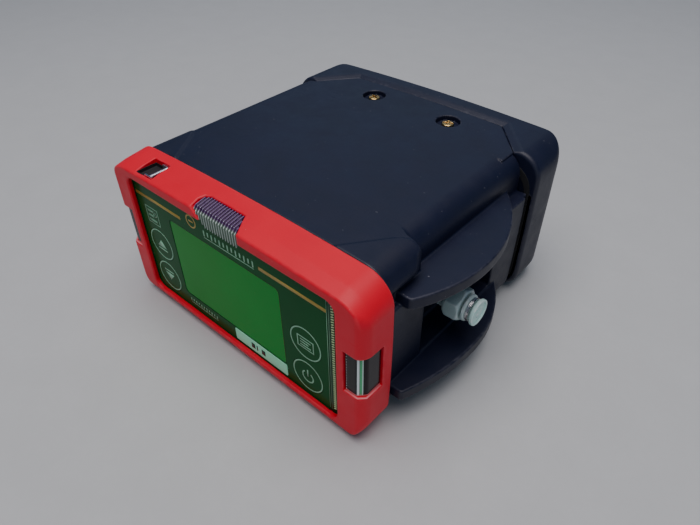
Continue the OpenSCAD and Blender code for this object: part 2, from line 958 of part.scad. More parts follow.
module rear_cover() {
    color(dark_c) in_frame() difference() {
        union() {
            difference() {
                rear_form(0, cover_y, case_h + 1);
                rear_form(wall, cover_y - 1, roof_z);
            }
            intersection() {
                rear_form(0, cover_y, case_h + 1);
                block([65, cover_y, 62], [half_w, cover_y + wall, case_h]);
            }
            for (x = [-1, 1])
                rod_z([x * screw_x, screw_y, 60], 4, roof_z + 0.5 - 60);
            for (z = [17.4, 62.6])
                block([hinge_x - 3, hinge_y - 3, z], [hinge_x + 3, case_d - wall + 0.5, z + 4]);
        }
        along_z(tongue_z - 0.2, case_h + 1)
            tongue_plan(0.3);
        for (x = [-1, 1])
            rod_z([x * screw_x, screw_y, 59], 2.05, 20);
        block(
            [hinge_x - 4.4, hinge_y - 2.2, door_z[0] - 0.2],
            [hinge_x + 2.4, case_d + 1, door_z[1] + 0.2]
        );
        block(
            [hinge_x, case_d - wall - 1, door_z[0] - 0.3],
            [door_x[1] + 0.3, case_d + 1, door_z[1] + 0.3]
        );
        block([door_x[1], case_d - 1.4, 36], [door_x[1] + 4, case_d + 1, 48]);
        rod_z([hinge_x, hinge_y, 17], pin_r + 0.01, 50);
    }
}

module rear_gasket() {
    color(black_c) in_frame() difference() {
        along_y(rear_y, cover_y)
            section(body_w - 1, z_lo + 0.8, tongue_z - 0.6, edge_r);
        along_y(rear_y - 1, cover_y + 1)
            section(body_w - 2 * wall - 1, z_lo + 4, roof_z - 1, edge_r - wall);
    }
}

module top_screws() {
    color(brass_c) in_frame() difference() {
        for (x = [-1, 1]) {
            rod_z([x * screw_x, screw_y, head_z], 3.4, 2);
            rod_z([x * screw_x, screw_y, 61], 2, head_z - 61 + eps);
        }
        for (x = [-1, 1])
            rod_z([x * screw_x, screw_y, head_z + 0.9], 1.3, 2);
    }
}

module battery_holder() {
    color(black_c) in_frame() difference() {
        block([-holder_x, 128, holder_z[0]], [holder_x, 146, holder_z[1]]);
        for (z = cell_rows) {
            rod_x([-holder_x + 1.6, cell_y, z], cell_d / 2 + 0.3, 2 * holder_x - 3.2);
            block(
                [-holder_x + 1.6, cell_y, z - cell_d / 2 - 0.3],
                [holder_x - 1.6, 150, z + cell_d / 2 + 0.3]
            );
        }
    }
}

module battery_cells() {
    color([0.2, 0.35, 0.6]) in_frame()
        for (x = [-cell_len - cell_gap / 2, cell_gap / 2], z = cell_rows) {
            rod_x([x, cell_y, z], cell_d / 2, cell_len - 1.2);
            rod_x([x + cell_len - 1.2 - eps, cell_y, z], 2.7, 1.2);
        }
}

module contact_springs() {
    color(metal_c) in_frame()
        for (z = cell_rows)
            for (i = [0:2])
                translate([-holder_x + 2.9 + 0.9 * i, cell_y, z])
                    rotate([0, 90, 0])
                        rotate_extrude()
                            translate([4.4 - i, 0])
                                circle(r = 0.4);
}

module contact_plates() {
    color(metal_c) in_frame()
        for (z = cell_rows) {
            block([-holder_x + 1.7, cell_y - 5, z - 5], [-holder_x + 2.3, cell_y + 5, z + 5]);
            block([holder_x - 2.3, cell_y - 5, z - 5], [holder_x - 1.7, cell_y + 5, z + 5]);
        }
}

module battery_door() {
    color(dark_c) in_frame() difference() {
        union() {
            block([hinge_x, case_d - wall + 0.1, door_z[0]], [door_x[1], case_d - 0.1, door_z[1]]);
            rod_z([hinge_x, hinge_y, door_z[0]], barrel_r, door_z[1] - door_z[0]);
        }
        rod_z([hinge_x, hinge_y, 0], pin_r + running, 80);
    }
}

module door_pin() {
    color(metal_c) in_frame()
        rod_z([hinge_x, hinge_y, 17.5], pin_r, 49);
}

module door_seal() {
    color(black_c) in_frame() difference() {
        block([-54, case_d - wall - 0.8, 24.4], [54, case_d - wall + 0.1, 59.6]);
        block([-52, case_d - wall - 2, 26.4], [52, case_d - wall + 1, 57.6]);
    }
}

front_bezel();
bezel_gasket();
bezel_screws();
strap_bracket();
strap_pin();
front_panel();
label_strip();
side_diffuser();
lcd_window();
lcd_module();
lamp_lens_top();
lamp_lens_left();
lamp_lens_right();
light_guide_left();
light_guide_right();
alarm_leds();
key_up();
key_down();
key_display();
key_power();
key_boards();
key_domes();
main_housing();
feet();
main_board();
board_pillars();
buzzer();
inlet_body();
inlet_o_ring();
inlet_nut();
inlet_connector();
inlet_ring();
inlet_cap();
inlet_filter();
outlet_body();
outlet_nut();
sensor_chamber();
gas_sensor();
sensor_seal();
pump_body();
pump_motor();
pump_crank();
pump_diaphragm();
inlet_tube();
transfer_tube();
outlet_tube();
rear_cover();
rear_gasket();
top_screws();
battery_holder();
battery_cells();
contact_springs();
contact_plates();
battery_door();
door_pin();
door_seal();
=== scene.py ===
"""Looks for a portable gas monitor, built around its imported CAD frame.

Shapes are worked out in case millimetres: x from the case's middle plane, y back from the bezel's
face and z up from the floor. mesh_from() puts them into the frame, in metres.
"""

import json
import math

import bpy
import numpy as np
from mathutils import Matrix, Vector


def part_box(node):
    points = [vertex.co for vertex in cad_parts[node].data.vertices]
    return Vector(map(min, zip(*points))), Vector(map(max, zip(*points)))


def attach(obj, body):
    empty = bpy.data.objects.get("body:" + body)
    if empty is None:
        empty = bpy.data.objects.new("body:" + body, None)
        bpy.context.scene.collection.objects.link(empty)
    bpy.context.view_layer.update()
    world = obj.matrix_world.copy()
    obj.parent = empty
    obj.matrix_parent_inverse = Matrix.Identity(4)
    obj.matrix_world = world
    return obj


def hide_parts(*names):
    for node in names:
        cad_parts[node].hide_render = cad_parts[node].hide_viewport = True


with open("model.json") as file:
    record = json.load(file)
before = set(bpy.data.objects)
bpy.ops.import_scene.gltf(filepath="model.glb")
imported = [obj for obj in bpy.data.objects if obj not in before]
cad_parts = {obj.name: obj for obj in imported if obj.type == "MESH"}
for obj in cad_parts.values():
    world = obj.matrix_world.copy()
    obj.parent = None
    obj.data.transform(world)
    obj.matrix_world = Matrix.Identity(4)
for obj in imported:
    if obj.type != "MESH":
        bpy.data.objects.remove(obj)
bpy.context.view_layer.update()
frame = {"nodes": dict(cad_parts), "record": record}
MM = 0.001

bezel_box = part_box("front_bezel")
ORIGIN = np.array([(bezel_box[0].x + bezel_box[1].x) / 2, bezel_box[0].y, 0.0])


def span(node):
    """Lowest and highest corner of a CAD node, in case millimetres."""
    low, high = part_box(node)
    return (np.array(low) - ORIGIN) / MM, (np.array(high) - ORIGIN) / MM


# ---------------------------------------------------------------- dimensions, in case millimetres

CASE_W = span("front_bezel")[1][0] * 2
CASE_H = span("rear_cover")[1][2]
CASE_D = span("rear_cover")[1][1]
GAP = 2.0
WALL = 2.4
EDGE_R = 12.0
CROWN = 2.0
BOW = 0.7
BEZEL_D = span("front_bezel")[1][1]
BODY_Y = span("main_housing")[0][1]
BODY_W = CASE_W - 6
BODY_HI = CASE_H - 0.8
REAR_Y = span("rear_gasket")[0][1]
COVER_Y = span("rear_cover")[0][1]
FACE_T = 2.6
OPENING = (63.4, 6.94, 72.5, 4.5)
WINDOW = (67.2, 11.8, 30.3, 52.3)
NOTCH_Y = 9.0
NOTCH_LOW = 68.0
STRAP_LOW = (-55.5, 1.9, 74.8)
STRAP_HIGH = (-44.0, 12.3, 90.0)
PANEL_Y = span("front_panel")[0][1]
KEY_R = (span("key_up")[1][0] - span("key_up")[0][0]) / 2 - 0.8
PORT_Y, PORT_Z = [(a + b) / 2 for a, b in zip(*span("inlet_cap"))][1:]
UPPER_FIN = (25.5, 77.4, 87.6, 70.4)
LOWER_FIN = (19.5, 80.5, span("inlet_cap")[1][0], 63.0)
FIN_T = 5.6
FIN_Z = (15.4, 60.0)
POCKET_LOW = (62.0, 41.0, 21.5)
POCKET_HIGH = (110.0, 97.0, 59.5)
SHOULDER = (67.5, 10.0, 41.0, 132.0)
SHOULDER_FRONT = (19.6, 70.5)
BUMPER_LOW = 69.0
BUMPER_W = CASE_W - 5
SCREW_X, SCREW_Y, HEAD_Z = 23.4, 126.7, 77.4
HINGE = (-59.6, 149.2)
PORT_R = 5.1
FOOT_X, FOOT_R = 58, 6
FOOT_Y = (32, 108)
POSTS = [(s * 68.8, z) for s in (-1, 1) for z in (9, 72.2)]


# ---------------------------------------------------------------- distance fields

def rmax(a, b, r):
    """Intersection of two fields with the edge between them rounded to radius r."""
    u = np.maximum(a + r, 0)
    v = np.maximum(b + r, 0)
    return np.minimum(-r, np.maximum(a, b)) + np.sqrt(u * u + v * v)


def rmin(a, b, r):
    """Union of two fields with a fillet of radius r."""
    return -rmax(-a, -b, r)


def cut(a, b, r=0.5):
    """Field a with field b taken out, its rim rounded to radius r."""
    return rmax(a, -b, r)


def rect(u, v, low, high, r):
    """A rectangle with rounded corners in the plane of u and v."""
    qu = np.abs(u - (low[0] + high[0]) / 2) - (high[0] - low[0]) / 2 + r
    qv = np.abs(v - (low[1] + high[1]) / 2) - (high[1] - low[1]) / 2 + r
    far = np.sqrt(np.maximum(qu, 0) ** 2 + np.maximum(qv, 0) ** 2)
    return far + np.minimum(np.maximum(qu, qv), 0) - r


def slab(w, low, high):
    return np.maximum(low - w, w - high)


def box(x, y, z, low, high, r=0.5):
    """A box with its upright corners and its rims rounded to radius r."""
    plan = rect(x, y, low[:2], high[:2], r)
    return rmax(plan, slab(z, low[2], high[2]), r)


def rod(u, v, w, at, radius, low, high, r=0.3):
    """A round bar along w."""
    return rmax(np.hypot(u - at[0], v - at[1]) - radius, slab(w, low, high), r)


def convex(u, v, points):
    """A convex outline, its points in counter-clockwise order."""
    field = None
    for (u0, v0), (u1, v1) in zip(points, points[1:] + points[:1]):
        run = math.hypot(u1 - u0, v1 - v0)
        side = ((u - u0) * (v1 - v0) - (v - v0) * (u1 - u0)) / run
        field = side if field is None else np.maximum(field, side)
    return field


def section(x, z, w, z0, z1, r):
    """The case's cross-section: rounded corners, a crowned top and swelled sides."""
    mid, half = (z0 + z1) / 2, (z1 - z0) / 2
    up = np.clip((z - mid) / half, -1.3, 1.3)
    out = np.clip(x / (w / 2), -1.3, 1.3)
    flat_x = x + BOW * out * up * up
    flat_z = z + CROWN * out * out * np.maximum(up, 0)
    return rect(flat_x, flat_z, (-w / 2, z0), (w / 2, z1), r)


# ---------------------------------------------------------------- meshing

CORNERS = [(i, j, k) for i in (0, 1) for j in (0, 1) for k in (0, 1)]


def gradient(field, p, h=0.04):
    g = np.empty_like(p)
    for axis in range(3):
        d = np.zeros(3)
        d[axis] = h
        g[:, axis] = (field(*(p + d).T) - field(*(p - d).T)) / (2 * h)
    return g


def settle(field, p, limit, rounds):
    """Moves points along the field's slope on to its zero surface."""
    for _ in range(rounds):
        g = gradient(field, p)
        move = -(field(*p.T) / np.maximum((g * g).sum(1), 0.2))[:, None] * g
        length = np.linalg.norm(move, axis=1, keepdims=True)
        p = p + move * np.minimum(1, limit / np.maximum(length, 1e-9))
    return p


def surface_net(field, low, high, step):
    """Points and four-sided faces of the surface where field is zero, inside a box."""
    axes = [np.arange(a - 1.5 * step, b + 2.5 * step, step) for a, b in zip(low, high)]
    value = field(*np.ix_(*axes))
    inside = value < 0
    n = value.shape

    def corner(a, c):
        return a[c[0]:n[0] - 1 + c[0], c[1]:n[1] - 1 + c[1], c[2]:n[2] - 1 + c[2]]

    total = sum(corner(inside, c).astype(np.int8) for c in CORNERS)
    cells = np.argwhere((total > 0) & (total < 8))
    index = np.full(total.shape, -1)
    index[tuple(cells.T)] = np.arange(len(cells))
    at = {c: value[tuple((cells + c).T)] for c in CORNERS}
    points = np.zeros((len(cells), 3))
    hits = np.zeros(len(cells))
    for a in CORNERS:
        for axis in range(3):
            if a[axis]:
                continue
            b = tuple(1 if i == axis else a[i] for i in range(3))
            cross = (at[a] < 0) != (at[b] < 0)
            t = np.where(cross, at[a] / np.where(cross, at[a] - at[b], 1), 0)
            p = np.tile(np.array(a, float), (len(cells), 1))
            p[:, axis] += t
            points += p * cross[:, None]
            hits += cross
    points = np.array([a[0] for a in axes]) + (cells + points / hits[:, None]) * step
    quads = []
    for axis in range(3):
        order = (axis, (axis + 1) % 3, (axis + 2) % 3)
        s, ix = np.transpose(inside, order), np.transpose(index, order)
        a, u, w = np.argwhere(s[1:, 1:-1, 1:-1] != s[:-1, 1:-1, 1:-1]).T
        quad = np.stack([ix[a, u, w], ix[a, u + 1, w], ix[a, u + 1, w + 1], ix[a, u, w + 1]], 1)
        back = ~s[a, u + 1, w + 1]
        quad[back] = quad[back][:, ::-1]
        quads.append(quad)
    return settle(field, points, step * 0.4, 2), np.concatenate(quads)


def mesh_from(name, points, faces):
    """A Blender mesh from points in case millimetres and faces that all have one size."""
    sides = faces.shape[1]
    mesh = bpy.data.meshes.new(name)
    mesh.vertices.add(len(points))
    mesh.vertices.foreach_set("co", (points * MM + ORIGIN).astype(np.float32).ravel())
    mesh.loops.add(faces.size)
    mesh.loops.foreach_set("vertex_index", faces.astype(np.int32).ravel())
    mesh.polygons.add(len(faces))
    mesh.polygons.foreach_set("loop_start", np.arange(0, faces.size, sides, dtype=np.int32))
    mesh.update(calc_edges=True)
    mesh.validate()
    return mesh


def case_points(mesh):
    co = np.empty(len(mesh.vertices) * 3, np.float32)
    mesh.vertices.foreach_get("co", co)
    return (co.reshape(-1, 3).astype(float) - ORIGIN) / MM


def own(name, mesh, material, body, stands_for=()):
    """Makes a mesh a piece of the object: its finish, the body it rides on and what it stands for."""
    obj = bpy.data.objects.new(name, mesh)
    bpy.context.scene.collection.objects.link(obj)
    mesh.materials.append(material)
    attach(obj, body)
    if stands_for:
        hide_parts(*stands_for)
    return obj


def solid(name, field, low, high, step, material, body, stands_for=(), keep=0.3):
    """A piece whose surface is a field's zero surface, thinned out where it is flat."""
    points, quads = surface_net(field, low, high, step)
    obj = own(name, mesh_from(name, points, quads), material, body, stands_for)
    thin = obj.modifiers.new("thin", "DECIMATE")
    thin.ratio = keep
    graph = bpy.context.evaluated_depsgraph_get()
    mesh = bpy.data.meshes.new_from_object(obj.evaluated_get(graph))
    obj.modifiers.clear()
    obj.data = mesh
    mesh.name = name
    points = settle(field, case_points(mesh), step * 0.25, 1)
    mesh.vertices.foreach_set("co", (points * MM + ORIGIN).astype(np.float32).ravel())
    slope = gradient(field, points)
    slope /= np.maximum(np.linalg.norm(slope, axis=1, keepdims=True), 1e-9)
    reach = 0.7
    bend = sum(field(*(points + d * reach).T) for d in np.vstack([np.eye(3), -np.eye(3)]))
    edge = mesh.attributes.new("edge", "FLOAT", "POINT")
    edge.data.foreach_set("value", np.clip(bend / reach ** 2, -3, 3).astype(np.float32))
    mesh.polygons.foreach_set("use_smooth", [True] * len(mesh.polygons))
    mesh.update()
    mesh.normals_split_custom_set_from_vertices(slope.tolist())
    return obj


# ---------------------------------------------------------------- materials

def nodes_of(name):
    mat = bpy.data.materials.new(name)
    mat.use_nodes = True
    tree = mat.node_tree
    shader = tree.nodes["Principled BSDF"]
    place = tree.nodes.new("ShaderNodeTexCoord").outputs["Object"]
    return mat, tree, shader, place


def noise(tree, place, per_mm, detail=3, rough=0.5, stretch=None):
    """Noise with features about 1 / per_mm millimetres wide."""
    if stretch:
        mapping = tree.nodes.new("ShaderNodeMapping")
        mapping.inputs["Scale"].default_value = stretch
        tree.links.new(place, mapping.inputs["Vector"])
        place = mapping.outputs["Vector"]
    node = tree.nodes.new("ShaderNodeTexNoise")
    node.inputs["Scale"].default_value = per_mm / MM
    node.inputs["Detail"].default_value = detail
    node.inputs["Roughness"].default_value = rough
    tree.links.new(place, node.inputs["Vector"])
    return node.outputs["Fac"]


def ramp(tree, value, low, high, a=0.0, b=1.0):
    """Maps value from low..high to a..b."""
    node = tree.nodes.new("ShaderNodeMapRange")
    for key, number in zip(("From Min", "From Max", "To Min", "To Max"), (low, high, a, b)):
        node.inputs[key].default_value = number
    tree.links.new(value, node.inputs["Value"])
    return node.outputs["Result"]


def maths(tree, kind, a, b):
    node = tree.nodes.new("ShaderNodeMath")
    node.operation = kind
    for socket, value in zip(node.inputs, (a, b)):
        if isinstance(value, (int, float)):
            socket.default_value = value
        else:
            tree.links.new(value, socket)
    return node.outputs[0]


def mix(tree, share, a, b):
    """Colour a where share is 0 and colour b where it is 1."""
    node = tree.nodes.new("ShaderNodeMix")
    node.data_type = "RGBA"
    tree.links.new(share, node.inputs["Factor"])
    for socket, value in zip((node.inputs[6], node.inputs[7]), (a, b)):
        if isinstance(value, (tuple, list)):
            socket.default_value = (*value[:3], 1)
        else:
            tree.links.new(value, socket)
    return node.outputs[2]


def shade(colour, k):
    return tuple(min(1.0, c * k) for c in colour)


def finish(name, colour, rough, metal=0.0, grain=3.0, bump=0.02, vary=0.12, edge=None, edge_share=0.5,
           speck=None, speck_share=0.72, scuffs=0.0, clear=0.0, ior=1.5, stretch=None, specular=0.5):
    """A procedural finish: mottled colour, uneven gloss, a fine grain, worn edges and specks.

    grain is in features per millimetre and bump in millimetres. edge is the colour that sharp edges
    wear to, speck the colour of small spots, and clear how much light passes through.
    """
    mat, tree, shader, place = nodes_of(name)
    link = tree.links.new
    cloud = noise(tree, place, 0.045, 4)
    base = mix(tree, ramp(tree, cloud, 0.3, 0.7), shade(colour, 1 - vary), shade(colour, 1 + vary))
    fine = noise(tree, place, grain, 2, stretch=stretch)
    base = mix(tree, ramp(tree, fine, 0.35, 0.75, 0, 0.5), base, shade(colour, 1 - vary * 1.5))
    if edge:
        worn = tree.nodes.new("ShaderNodeAttribute")
        worn.attribute_name = "edge"
        sharp = ramp(tree, worn.outputs["Fac"], 0.5, 1.9)
        rubbed = ramp(tree, noise(tree, place, 0.35, 4), 0.38, 0.68)
        share = maths(tree, "MULTIPLY", maths(tree, "MULTIPLY", sharp, rubbed), edge_share)
        base = mix(tree, share, base, edge)
    if speck:
        spots = ramp(tree, noise(tree, place, 0.8, 1), speck_share, speck_share + 0.02)
        base = mix(tree, maths(tree, "MULTIPLY", spots, 0.55), base, speck)
    link(base, shader.inputs["Base Color"])
    gloss = ramp(tree, noise(tree, place, 0.12, 5, 0.6), 0.3, 0.7, rough * 0.88, min(1, rough * 1.14))
    if scuffs:
        lines = noise(tree, place, 0.35, 5, 0.7, stretch=(0.15, 1.6, 1.0))
        gloss = maths(tree, "ADD", gloss, ramp(tree, lines, 0.62, 0.72, 0, scuffs))
    link(gloss, shader.inputs["Roughness"])
    shader.inputs["Metallic"].default_value = metal
    shader.inputs["IOR"].default_value = ior
    shader.inputs["Specular IOR Level"].default_value = specular
    shader.inputs["Transmission Weight"].default_value = clear
    relief = tree.nodes.new("ShaderNodeBump")
    relief.inputs["Distance"].default_value = bump * MM
    relief.inputs["Strength"].default_value = 1.0
    link(fine, relief.inputs["Height"])
    link(relief.outputs["Normal"], shader.inputs["Normal"])
    return mat


RED = finish("bezel_red", (0.74, 0.0012, 0.022), 0.44, grain=2.2, bump=0.012, vary=0.05, specular=0.3,
             edge=(0.85, 0.13, 0.15), edge_share=0.35, speck=(0.8, 0.3, 0.3), speck_share=0.8, scuffs=0.1)
# case_dark: a near-black whose blue tint is partly the case's own colour and partly a painted reflection of
# a blue surround
DARK = finish("case_dark", (0.0048, 0.0072, 0.025), 0.46, grain=3.2, bump=0.022, vary=0.14, specular=0.4,
              edge=(0.10, 0.10, 0.12), edge_share=0.5, speck=(0.2, 0.2, 0.22), speck_share=0.79, scuffs=0.14)
# panel_print: its green is partly the panel's own print and partly a painted reflection of a green surround
PANEL = finish("panel_print", (0.0004, 0.085, 0.018), 0.2, grain=1.4, bump=0.002, vary=0.1,
               speck=(0.2, 0.4, 0.28), speck_share=0.8, scuffs=0.05, specular=0.06)
# lcd_glass: a grey-green LCD; its strong saturated green is painted light, the green bounce of a green
# surround
GLASS = finish("lcd_glass", (0.0002, 0.27, 0.024), 0.14, grain=2.5, bump=0.001, vary=0.06,
               speck=(0.16, 0.4, 0.2), speck_share=0.82, specular=0.08)
LABEL = finish("label", (0.36, 0.96, 0.60), 0.4, grain=4, bump=0.004, vary=0.05)
GOLD = finish("gold_print", (0.52, 0.36, 0.06), 0.38, grain=5, bump=0.002, vary=0.12)
PALE = finish("pale_print", (0.30, 0.62, 0.40), 0.4, grain=5, bump=0.002, vary=0.15)
# rib_lit: a painted highlight, the pale colour the diffuser's ribs show where they catch the light
TOOTH = finish("rib_lit", (0.62, 0.85, 0.42), 0.35, grain=5, bump=0.002, vary=0.12)
DIM = finish("dim_print", (0.20, 0.45, 0.28), 0.4, grain=5, bump=0.002, vary=0.2)
INK = finish("ink_print", (0.008, 0.03, 0.018), 0.4, grain=5, bump=0.002, vary=0.15)
RUBBER = finish("gasket_black", (0.008, 0.008, 0.009), 0.72, grain=4, bump=0.02, vary=0.2)
STEEL = finish("steel", (0.72, 0.73, 0.74), 0.24, metal=1, grain=5, bump=0.004, vary=0.1,
               stretch=(1, 0.1, 1))
CAN = finish("motor_can", (0.5, 0.5, 0.51), 0.34, metal=1, grain=3, bump=0.006, vary=0.1,
             stretch=(1, 0.1, 1))
BRASS = finish("brass", (0.62, 0.43, 0.17), 0.24, metal=1, grain=5, bump=0.004, vary=0.15)
BOARD = finish("board_green", (0.01, 0.10, 0.045), 0.32, grain=1.2, bump=0.01, vary=0.25,
               speck=(0.5, 0.42, 0.2), speck_share=0.68)
BLACK = finish("moulded_black", (0.014, 0.014, 0.016), 0.5, grain=3, bump=0.02, vary=0.15)
FRAME = finish("lcd_frame", (0.45, 0.47, 0.45), 0.5, grain=3, bump=0.01)
LED = finish("led_white", (0.75, 0.76, 0.7), 0.3, grain=4, bump=0.004, vary=0.05)
FROST = finish("frosted_fitting", (0.62, 0.80, 0.79), 0.24, grain=2.4, bump=0.01, vary=0.14,
               edge=(0.9, 0.98, 0.97), edge_share=0.9, clear=0.35, ior=1.45)
DISC = finish("frosted_disc", (0.62, 0.95, 0.86), 0.26, grain=2.4, bump=0.01, vary=0.1,
              edge=(0.95, 1.0, 0.98), edge_share=0.9, clear=0.12, ior=1.45)
# ledge_lit: painted highlight on the window ledges under the corner lenses
LEDGE = finish("ledge_lit", (0.95, 0.22, 0.24), 0.35, grain=3, bump=0.004, vary=0.06)
# the side diffuser is clear plastic; this dark green stands in for it, its darkness painted shade of the
# interior behind it
SHADED_STRIP = finish("shaded_clear_strip", (0.001, 0.05, 0.014), 0.18, grain=3, bump=0.002, vary=0.2, specular=0.15)
FILTER = finish("filter_white", (0.75, 0.75, 0.72), 0.85, grain=6, bump=0.06, vary=0.12)
CHAMBER = finish("chamber_white", (0.62, 0.62, 0.58), 0.42, grain=2, bump=0.01, stretch=(1, 0.2, 1))
IVORY = finish("sensor_ivory", (0.62, 0.56, 0.42), 0.46, grain=3, bump=0.012)
TUBE = finish("tube_clear", (0.6, 0.62, 0.58), 0.25, grain=2, bump=0.006, vary=0.06, clear=0.5, ior=1.42)
SLEEVE = finish("cell_blue", (0.03, 0.08, 0.25), 0.3, grain=2, bump=0.004, vary=0.1)
GLINT = finish("rib_highlight", (0.75, 0.85, 0.82), 0.2, grain=3, bump=0.004, vary=0.1)
PALE_LENS = finish("clear_plastic", (0.5, 0.6, 0.56), 0.14, grain=2, bump=0.003, vary=0.06,
                   clear=0.6, ior=1.58)


def top_lens_finish():
    """The top lamp: dark violet from above as painted shade and reflection, grey-green at the front as a
    painted reflection, and pale rib lines as painted highlights.
    """
    mat, tree, shader, place = nodes_of("lens_top")
    parts = tree.nodes.new("ShaderNodeSeparateXYZ")
    tree.links.new(place, parts.inputs[0])
    front_y = ORIGIN[1]
    front = ramp(tree, parts.outputs["Y"], front_y + 1.2 * MM, front_y + 1.9 * MM, 1, 0)
    across = maths(tree, "SUBTRACT", parts.outputs["X"], float(ORIGIN[0]))
    wave = maths(tree, "PINGPONG", across, 0.8 * MM)
    ridge = ramp(tree, wave, 0.52 * MM, 0.72 * MM)
    tint = noise(tree, place, 0.25, 3)
    # painted shade of the dark interior with a violet reflection, seen from above
    violet = mix(tree, tint, (0.02, 0.006, 0.03), (0.06, 0.02, 0.08))
    # painted green reflection on the front face
    green = mix(tree, tint, (0.06, 0.11, 0.07), (0.14, 0.2, 0.15))
    body = mix(tree, front, violet, green)
    # painted highlights along the ribs
    line = mix(tree, front, (0.16, 0.10, 0.22), (0.55, 0.62, 0.58))
    tree.links.new(mix(tree, ridge, body, line), shader.inputs["Base Color"])
    tree.links.new(ramp(tree, tint, 0.3, 0.7, 0.2, 0.3), shader.inputs["Roughness"])
    shader.inputs["Specular IOR Level"].default_value = 0.3
    return mat


# the corner lens's painted highlight bands, one green as a painted reflection: offset from the chamfer's
# middle line, half width and colour
LENS_HIGHLIGHT_BANDS = (
    (-2.0, 0.75, (0.85, 0.92, 0.9)), (-0.5, 0.8, (0.10, 0.45, 0.2)), (0.4, 0.35, (0.6, 0.8, 0.7)),
)


def corner_lens_finish():
    """The corner lamps: clear faces coloured near black as painted shade of the interior behind them, with
    painted highlight bands where the chamfered corner catches the light.
    """
    mat, tree, shader, place = nodes_of("lens_corner")
    parts = tree.nodes.new("ShaderNodeSeparateXYZ")
    tree.links.new(place, parts.inputs[0])
    across = maths(tree, "ABSOLUTE", maths(tree, "SUBTRACT", parts.outputs["X"], float(ORIGIN[0])), 0)
    along = maths(tree, "SUBTRACT", parts.outputs["Y"], float(ORIGIN[1]))
    corner = maths(tree, "ADD", across, along)
    tint = noise(tree, place, 0.2, 3)
    # painted shade: the dark interior seen through the clear lens
    base = mix(tree, tint, (0.003, 0.0015, 0.003), (0.012, 0.007, 0.011))
    middle = CASE_W / 2 * MM
    # painted highlights along the chamfer, the green band a painted reflection
    for offset, half_width, colour in LENS_HIGHLIGHT_BANDS:
        off = maths(tree, "ABSOLUTE", maths(tree, "SUBTRACT", corner, middle + offset * MM), 0)
        band = ramp(tree, off, half_width * 0.6 * MM, half_width * MM, 1, 0)
        base = mix(tree, band, base, colour)
    # painted highlight: a pink band along the lens's foot, where the lit ledge shows
    ledge = ramp(tree, parts.outputs["Z"], (WINDOW[2] + 0.45) * MM, (WINDOW[2] + 0.95) * MM, 1, 0)
    base = mix(tree, ledge, base, (0.95, 0.42, 0.42))
    tree.links.new(base, shader.inputs["Base Color"])
    tree.links.new(ramp(tree, tint, 0.3, 0.7, 0.08, 0.16), shader.inputs["Roughness"])
    shader.inputs["Specular IOR Level"].default_value = 0.25
    return mat


TOP_LENS = top_lens_finish()
CORNER_LENS = corner_lens_finish()

FINISHES = {
    "bezel_red": RED, "case_dark": DARK, "gasket_black": RUBBER, "steel": STEEL, "motor_can": CAN,
    "brass": BRASS, "panel_print": PANEL, "label": LABEL, "clear_plastic": PALE_LENS, "lcd_glass": GLASS,
    "lcd_frame": FRAME, "led_white": LED, "board_green": BOARD, "moulded_black": BLACK,
    "frosted_fitting": FROST, "filter_white": FILTER, "chamber_white": CHAMBER, "sensor_ivory": IVORY,
    "tube_clear": TUBE, "cell_blue": SLEEVE,
}


def dress_cad():
    """Gives every CAD node the procedural finish of its material slot, except the clear side diffuser, which
    gets a dark green finish whose darkness is painted shade of the interior behind it.
    """
    for row in frame["record"]["subparts"]:
        node = frame["nodes"][row["node"]]
        node.data.materials.clear()
        slot = row["material_slot"]
        node.data.materials.append(SHADED_STRIP if row["node"] == "side_diffuser" else FINISHES[slot])


# ---------------------------------------------------------------- the front bezel

def bezel_form(x, y, z, inset):
    """The bezel's outer form, drawn in by inset."""
    w = CASE_W - 2 * inset
    mid = (CASE_H + GAP) / 2
    up = np.clip((z - mid) / (CASE_H - mid), 0, 1.3)
    drop = 2.6 * np.clip(1 - y / BEZEL_D, 0, 1.2) + 0.9 * np.clip(1 - y / 6, 0, 1.2)
    form = section(x, z + drop * up, w, GAP + 0.4 + inset, CASE_H - inset, EDGE_R - inset)
    corner = (np.abs(x) - w / 2 + 3 - (y - inset)) / math.sqrt(2)
    foot = (GAP + 2.2 + inset - z - y) / math.sqrt(2)
    form = rmax(form, corner, 1.8)
    form = rmax(form, foot, 0.8)
    return rmax(form, inset - y, 1.0 if inset == 0 else 0.3)


def notch_plan(x, y, gap):
    """The top lamp's notch from above: a round left end and a slanting right end."""
    points = [(-13.8 + gap, -3), (13.4 - gap, -3), (13.4 - gap, 1), (9.2 - gap, NOTCH_Y - gap),
              (-11, NOTCH_Y - gap), (-13.8 + gap, NOTCH_Y - 1.2 - gap), (-15 + gap, NOTCH_Y - 4 - gap)]
    return convex(x, y, points)


def notch_slope(x, z):
    """The notch's left end leans inwards below the top face."""
    lean = 0.9
    return (-15.2 - x + (78.2 - z) * lean) / math.hypot(1, lean)


